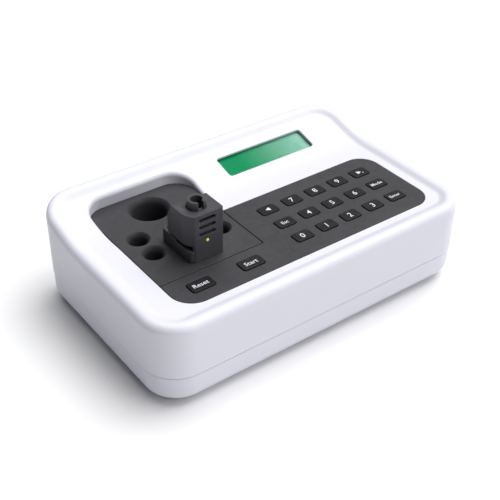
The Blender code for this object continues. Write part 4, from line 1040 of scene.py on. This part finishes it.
def head_plan(inset=0.0):
    """Plan of the head's cover: the front left corner is cut at a slant, the others rounded."""
    left, right = HEAD_X - HEAD_HALF, HEAD_X + HEAD_HALF
    taper_x, taper_y = HEAD_TAPER
    corners = [Vector((left + taper_x, HEAD_FRONT)), Vector((right, HEAD_FRONT)),
               Vector((right, HEAD_BACK)), Vector((left, HEAD_BACK)),
               Vector((left, HEAD_FRONT + taper_y))]
    return rounded([(c.x, c.y, max(r - inset, 0.3))
                    for c, r in zip(grown(corners, -inset), HEAD_RADII)], 8)


def slope_cut(bm, drop):
    """Take off what is above the cover's sloping back, moved inwards by drop."""
    slope = Vector((0.0, HEAD_TOP - SLOPE_LOW_Z, HEAD_BACK - SLOPE_TOP_Y)).normalized()
    corner = Vector((0.0, SLOPE_TOP_Y, HEAD_TOP)) - slope * drop
    cut_off(bm, corner, slope)


def cut_off(bm, corner, normal):
    """Cut a solid with a plane, drop the side the normal points to and close the cut."""
    cut = bmesh.ops.bisect_plane(bm, geom=bm.verts[:] + bm.edges[:] + bm.faces[:],
                                 plane_co=corner, plane_no=normal, clear_outer=True)
    edges = [g for g in cut["geom_cut"] if isinstance(g, bmesh.types.BMEdge)]
    bmesh.ops.edgenet_fill(bm, edges=edges)
    bmesh.ops.recalc_face_normals(bm, faces=bm.faces)


def on_top(edge):
    """Whether an edge of the cover runs round its top or its sloping back."""
    high = all(v.co.z > SLOPE_LOW_Z - 0.1 for v in edge.verts)
    return high and edge.calc_face_angle(0.0) > radians(35.0)


def make_head_cover():
    bm = prism(head_plan(), HEAD_LOW, HEAD_TOP)
    slope_cut(bm, 0.0)
    bevelled(bm, HEAD_SOFT, 4, 15.0, on_top)
    cover = solid("head_cover_shell", bm)
    apron = prism(head_plan(), APRON_LOW, HEAD_LOW + 3.0)
    cut_off(apron, (0.0, HEAD_FRONT + APRON_DEPTH, 0.0), (0.0, 1.0, 0.0))
    cut_off(apron, (HEAD_X - HEAD_HALF + HEAD_TAPER[0] - 0.4, 0.0, 0.0), (-1.0, 0.0, 0.0))
    combined(cover, apron, "UNION")
    cavity = prism(head_plan(HEAD_WALL), HEAD_LOW - 5.0, HEAD_TOP - HEAD_WALL)
    slope_cut(cavity, HEAD_WALL)
    cut_off(cavity, (0.0, HEAD_FRONT + APRON_DEPTH, 0.0), (0.0, -1.0, 0.0))
    combined(cover, cavity)
    holes = bmesh.new()
    width, height = LOUVRE_SIZE
    outline = rounded_box(width, height, LOUVRE_RADIUS, segments=5)
    flare = levelled(outline, [(0.35, -PAST), (0.35, 0.0), (0.1, 0.12), (0.0, 0.4), (0.0, 5.0)])
    for z in LOUVRE_Z:
        capped(holes, [[(LOUVRE_X + x, HEAD_FRONT + depth, z - y) for x, y, depth in points]
                       for points in flare])
    combined(cover, holes)
    led = turned_mesh([(0.0, -PAST), (LED_HOLE + 0.3, -PAST), (LED_HOLE + 0.3, 0.0),
                       (LED_HOLE, 0.25), (LED_HOLE, 4.0), (0.0, 4.0)], 32)
    combined(cover, along_y(led, LOUVRE_X, HEAD_FRONT, LED_Z))
    mouth = COLLAR_HOLE + 0.2
    collar = turned_mesh([(0.0, HEAD_TOP - 4.0), (COLLAR_HOLE, HEAD_TOP - 4.0),
                          (COLLAR_HOLE, HEAD_TOP - 0.2), (mouth, HEAD_TOP),
                          (mouth, HEAD_TOP + 2.0), (0.0, HEAD_TOP + 2.0)], 64, HOLDER)
    combined(cover, collar)
    blades = bmesh.new()
    ends = (LOUVRE_X - width / 2 - 0.3, LOUVRE_X + width / 2 - 1.5)
    upper, lower = (HEAD_FRONT + depth for depth in BLADE_DEPTH)
    for z in LOUVRE_Z[:2]:
        bottom, top = z - height / 2 - BLADE_LAP, z + height / 2 + BLADE_LAP
        section = [(lower, bottom), (lower + BLADE_THICKNESS, bottom),
                   (upper + BLADE_THICKNESS, top), (upper, top)]
        capped(blades, [[(x, y, h) for y, h in section] for x in ends])
    combined(cover, blades, "UNION")
    dressed(cover, "head_plastic", "head_cover", angle=24.0, weighted=True)


def make_head_base():
    left, right, front = HEAD_X - BASE_HALF, HEAD_X + BASE_HALF, HEAD_FRONT + 0.3
    plan = rounded([(left, front, BASE_CORNER), (right, front, 0.6),
                    (right, BASE_BACK, BASE_CORNER), (left, BASE_BACK, BASE_CORNER)], 6)
    base = solid("head_base_shell", prism(plan, APRON_LOW, BASE_TOP))
    combined(base, box_mesh(HEAD_X - 20.0, HEAD_X + 20.0, HEAD_FRONT - 5.0, NOTCH_BACK,
                            NOTCH_Z, BASE_TOP + 5.0))
    bm = bmesh.new()
    bm.from_mesh(base.data)
    bevelled(bm, BASE_SOFT * MM, 4, 40.0)
    bm.to_mesh(base.data)
    bm.free()
    behind = HEAD_FRONT + APRON_DEPTH + 0.2
    combined(base, box_mesh(left + BASE_WALL, right - BASE_WALL, behind + 1.0,
                            BASE_BACK - BASE_WALL, APRON_LOW + 2.0, BASE_TOP + 5.0))
    apron_left = HEAD_X - HEAD_HALF + HEAD_TAPER[0] - 0.6
    combined(base, box_mesh(apron_left, right + 5.0, HEAD_FRONT - 2.0, behind,
                            APRON_LOW - 2.0, BASE_TOP + 2.0))
    dressed(base, "head_plastic", "head_base", weighted=True)


def make_cuvette_holder():
    side, soft, floor = HOLDER_TOP - HOLDER_SOFT, HOLDER_SOFT, HOLDER_LOW + 1.5
    profile = [(0.0, HOLDER_LOW), (HOLDER_RADIUS, HOLDER_LOW), (HOLDER_RADIUS, side - GUARD)]
    profile += arc((HOLDER_RADIUS - soft, side), soft, 0, 90, 5)
    profile += arc((HOLDER_BORE + soft, side), soft, 90, 180, 5)
    profile += [(HOLDER_BORE, side - GUARD), (HOLDER_BORE, floor), (0.0, floor)]
    holder = solid("cuvette_holder_tube", turned_mesh(profile, 64, HOLDER))
    slot = rounded_box(HOLDER_SLOT, 12.0, 0.3, (HOLDER[0], HOLDER[1] - 6.0))
    combined(holder, prism(slot, HEAD_TOP + 0.2, HOLDER_TOP + 3.0))
    dressed(holder, "head_plastic", "cuvette_holder")


def make_status_led():
    profile = [(0.0, -0.05), (0.45, 0.0), (0.8, 0.14), (1.02, 0.4), (1.1, 0.8), (1.1, 2.4),
               (1.7, 2.4), (1.7, 3.5), (0.0, 3.5)]
    bm = along_y(turned_mesh(profile, 32), LOUVRE_X, HEAD_FRONT - LED_STANDOFF, LED_Z)
    dressed(solid("status_led_lens", bm), "lamp_lens", "status_led")


# ---- display

def make_display():
    matrix = deck_matrix()
    top = -LCD_LIP - WINDOW_GAP
    for node, piece, look, size, radius, fillet, thickness in (
            ("lcd_window", "pane", "clear_window", WINDOW_SIZE, 2.0, 0.2, WINDOW_THICKNESS),
            ("lcd_glass", "plate", "lcd_green", GLASS_SIZE, 0.5, 0.15, GLASS_THICKNESS)):
        bm = plate(rounded_box(*size, radius), [], top, top - thickness, fillet)
        bmesh.ops.transform(bm, matrix=matrix, verts=bm.verts)
        dressed(solid(f"{node}_{piece}", bm), look, node)
        top -= thickness + GLASS_GAP


# ---- rear panel

def rear_outline(width, height, radius, x):
    """Outline on the rear face, for a mesh that along_y then turns to the back."""
    return rounded_box(width, height, radius, (x, -REAR_Z))


def make_rear_panel():
    x0, x1, z0, z1 = REAR_OPENING
    outline = rounded_box(x1 - x0 + 2 * REAR_LAP[0], z1 - z0 + 2 * REAR_LAP[1], 1.0,
                          ((x0 + x1) / 2, -(z0 + z1) / 2 - 0.2))
    holes = [rear_outline(*(side + 2 * REAR_PLAY for side in size), 0.8, x)
             for size, x in ((SWITCH_BODY, SWITCH_X), (INLET_BODY, INLET_X))]
    holes.append(circle(DATA_RADIUS + REAR_PLAY, 48, (DATA_X, -REAR_Z)))
    bm = plate(divided(outline, PLATE_GRID), holes, REAR_FACE, REAR_FACE - REAR_THICKNESS, 0.3)
    dressed(solid("rear_plate", along_y(bm)), "black_plastic", "rear_panel")


def flanged(name, flange, body):
    """A flange with rounded edges outside the rear panel, joined to a body behind it."""
    outer = plate(flange, [], FLANGE_TOP, FLANGE_FACE, 0.35)
    inner = prism(body, SOCKET_END, FLANGE_FACE + 0.7)
    return combined(solid(name, along_y(outer)), along_y(inner), "UNION")


def bored(socket, radius, depth, x):
    """Cut a round bore with a countersunk rim into a socket."""
    end, past = FLANGE_TOP - depth, FLANGE_TOP + 3.0
    profile = [(0.0, end), (radius, end), (radius, FLANGE_TOP - 0.4),
               (radius + 0.5, FLANGE_TOP + 0.1), (radius + 0.5, past), (0.0, past)]
    combined(socket, along_y(turned_mesh(profile, 48, (x, -REAR_Z))))


def make_sockets():
    inlet = flanged("inlet_socket", rear_outline(*INLET_FLANGE, 1.0, INLET_X),
                    rear_outline(*INLET_BODY, 0.5, INLET_X))
    bored(inlet, *INLET_BORE, INLET_X)
    tip = FLANGE_TOP - PIN_BELOW
    side = tip - PIN_SOFT
    pin = [(0.0, tip - PIN_LENGTH), (PIN_RADIUS, tip - PIN_LENGTH), (PIN_RADIUS, side)]
    pin += arc((PIN_RADIUS - PIN_SOFT, side), PIN_SOFT, 0, 90, 4) + [(0.0, tip)]
    combined(inlet, along_y(turned_mesh(pin, 24, (INLET_X, -REAR_Z))), "UNION")
    dressed(inlet, "black_plastic", "power_inlet", weighted=True)
    data = flanged("data_socket", rear_outline(*DATA_FLANGE, 1.5, DATA_X),
                   circle(DATA_RADIUS, 48, (DATA_X, -REAR_Z)))
    bored(data, *DATA_BORE, DATA_X)
    dressed(data, "black_plastic", "data_port", weighted=True)


def make_power_switch():
    switch = flanged("switch_frame", rear_outline(*SWITCH_FLANGE, 1.0, SWITCH_X),
                     rear_outline(*SWITCH_BODY, 0.5, SWITCH_X))
    room = prism(rear_outline(*ROCKER_ROOM, 0.4, SWITCH_X), FLANGE_TOP - ROCKER_DEPTH,
                 FLANGE_TOP + 3.0)
    combined(switch, along_y(room))
    dressed(switch, "black_plastic", "power_switch", weighted=True)


def softened(node, look, width, body=CASE):
    """A copy of a CAD node with its sharp edges rounded, in the node's place."""
    source = frame["nodes"][node]
    bm = bmesh.new()
    bm.from_mesh(source.data)
    bm.transform(source.matrix_world)
    bmesh.ops.remove_doubles(bm, verts=bm.verts, dist=0.01 * MM)
    bmesh.ops.dissolve_limit(bm, angle_limit=radians(2.0), verts=bm.verts, edges=bm.edges)
    bevelled(bm, width * MM, 3, 30.0)
    bmesh.ops.scale(bm, vec=(1.0 / MM, 1.0 / MM, 1.0 / MM), verts=bm.verts)
    bmesh.ops.translate(bm, vec=(0.0, 0.0, -FEET), verts=bm.verts)
    return dressed(solid(node + "_soft", bm), look, node, body=body, weighted=True)


def make_small_parts():
    softened("power_rocker", "black_plastic", 0.35, "power_rocker")
    softened("rating_label", "label_silver", 0.08)
    for side in ("left", "right"):
        softened(f"head_screw_{side}", "steel", 0.3)
    for corner in CORNERS:
        softened(f"case_screw_{corner}", "steel", 0.3)
    for name, look, width in (
            ("heater_block", "aluminium", 0.3), ("heater_mat", "heater_orange", 0.2),
            ("heat_sink", "aluminium", 0.15), ("lcd_bezel", "black_plastic", 0.3),
            ("lcd_backlight", "backlight_white", 0.3), ("lcd_board", "board_green", 0.2),
            ("power_board", "board_green", 0.15), ("head_board", "board_green", 0.1)):
        softened(name, look, width)


# ---- what stays as the CAD has it

def dress_frame():
    """Give every CAD node that is still shown the material of its slot."""
    for part in frame["record"]["subparts"]:
        obj = frame["nodes"][part["node"]]
        if obj.hide_render:
            continue
        for slot in obj.material_slots:
            slot.material = LOOKS[part["material_slot"]]


# ---- stage

CAMERA_AZIMUTH = -37.05
CAMERA_ELEVATION = 36.17
CAMERA_ROLL = 0.79
CAMERA_DISTANCE = 636.63
CAMERA_SHIFT = (3.46, -17.18)
CAMERA_FOCAL = 69.32
FLOOR_HALF = 4.0
WORLD_COLOUR = (0.93, 0.95, 1.0, 1.0)
WORLD_STRENGTH = 0.09
# name, direction from the object, strength, width in degrees
LIGHTS = (
    ("front_light", (0.3, -0.8, 0.55), 1.12, 50.0),
    ("side_light", (0.52, -0.05, 1.0), 2.1, 50.0),
    ("top_light", (0.35, 0.3, 1.0), 1.8, 70.0),
)


def make_camera():
    azimuth, elevation, roll = (
        radians(angle) for angle in (CAMERA_AZIMUTH, CAMERA_ELEVATION, CAMERA_ROLL))
    back = Vector((sin(azimuth) * cos(elevation),
                   -cos(azimuth) * cos(elevation), sin(elevation)))
    right = Vector((0.0, 0.0, 1.0)).cross(back).normalized()
    up = back.cross(right)
    across = cos(roll) * right + sin(roll) * up
    upward = -sin(roll) * right + cos(roll) * up
    place = back * CAMERA_DISTANCE - across * CAMERA_SHIFT[0] - upward * CAMERA_SHIFT[1]
    place = place + Vector((0.0, 0.0, FEET))
    data = bpy.data.cameras.new("camera")
    data.lens = CAMERA_FOCAL
    data.sensor_width = 36.0
    data.clip_start = 0.01
    camera = linked("camera", data)
    matrix = Matrix((across, upward, back)).transposed().to_4x4()
    matrix.translation = place * MM
    camera.matrix_world = matrix
    bpy.context.scene.camera = camera


def soft_light(name, towards, strength, spread):
    """A wide far light, like a large softbox, shining from a direction."""
    data = bpy.data.lights.new(name, "SUN")
    data.energy = strength
    data.angle = radians(spread)
    light = linked(name, data)
    light.rotation_euler = Vector(towards).to_track_quat("Z", "Y").to_euler()


def make_stage():
    bm = bmesh.new()
    bmesh.ops.create_grid(bm, x_segments=8, y_segments=8, size=FLOOR_HALF)
    mesh = bpy.data.meshes.new("floor")
    bm.to_mesh(mesh)
    bm.free()
    mesh.materials.append(floor_look().material)
    floor = linked("floor", mesh)
    world = bpy.data.worlds.new("studio")
    world.use_nodes = True
    background = world.node_tree.nodes["Background"]
    background.inputs["Color"].default_value = WORLD_COLOUR
    background.inputs["Strength"].default_value = WORLD_STRENGTH
    bpy.context.scene.world = world
    for light in LIGHTS:
        soft_light(*light)
    bpy.context.scene.view_settings.view_transform = "Standard"


make_camera()
make_stage()
make_upper_case()
make_lower_case()
make_feet()
make_keypad_panel()
make_sample_panel()
make_keys()
make_head_cover()
make_head_base()
make_cuvette_holder()
make_status_led()
make_display()
make_rear_panel()
make_sockets()
make_power_switch()
make_small_parts()
dress_frame()
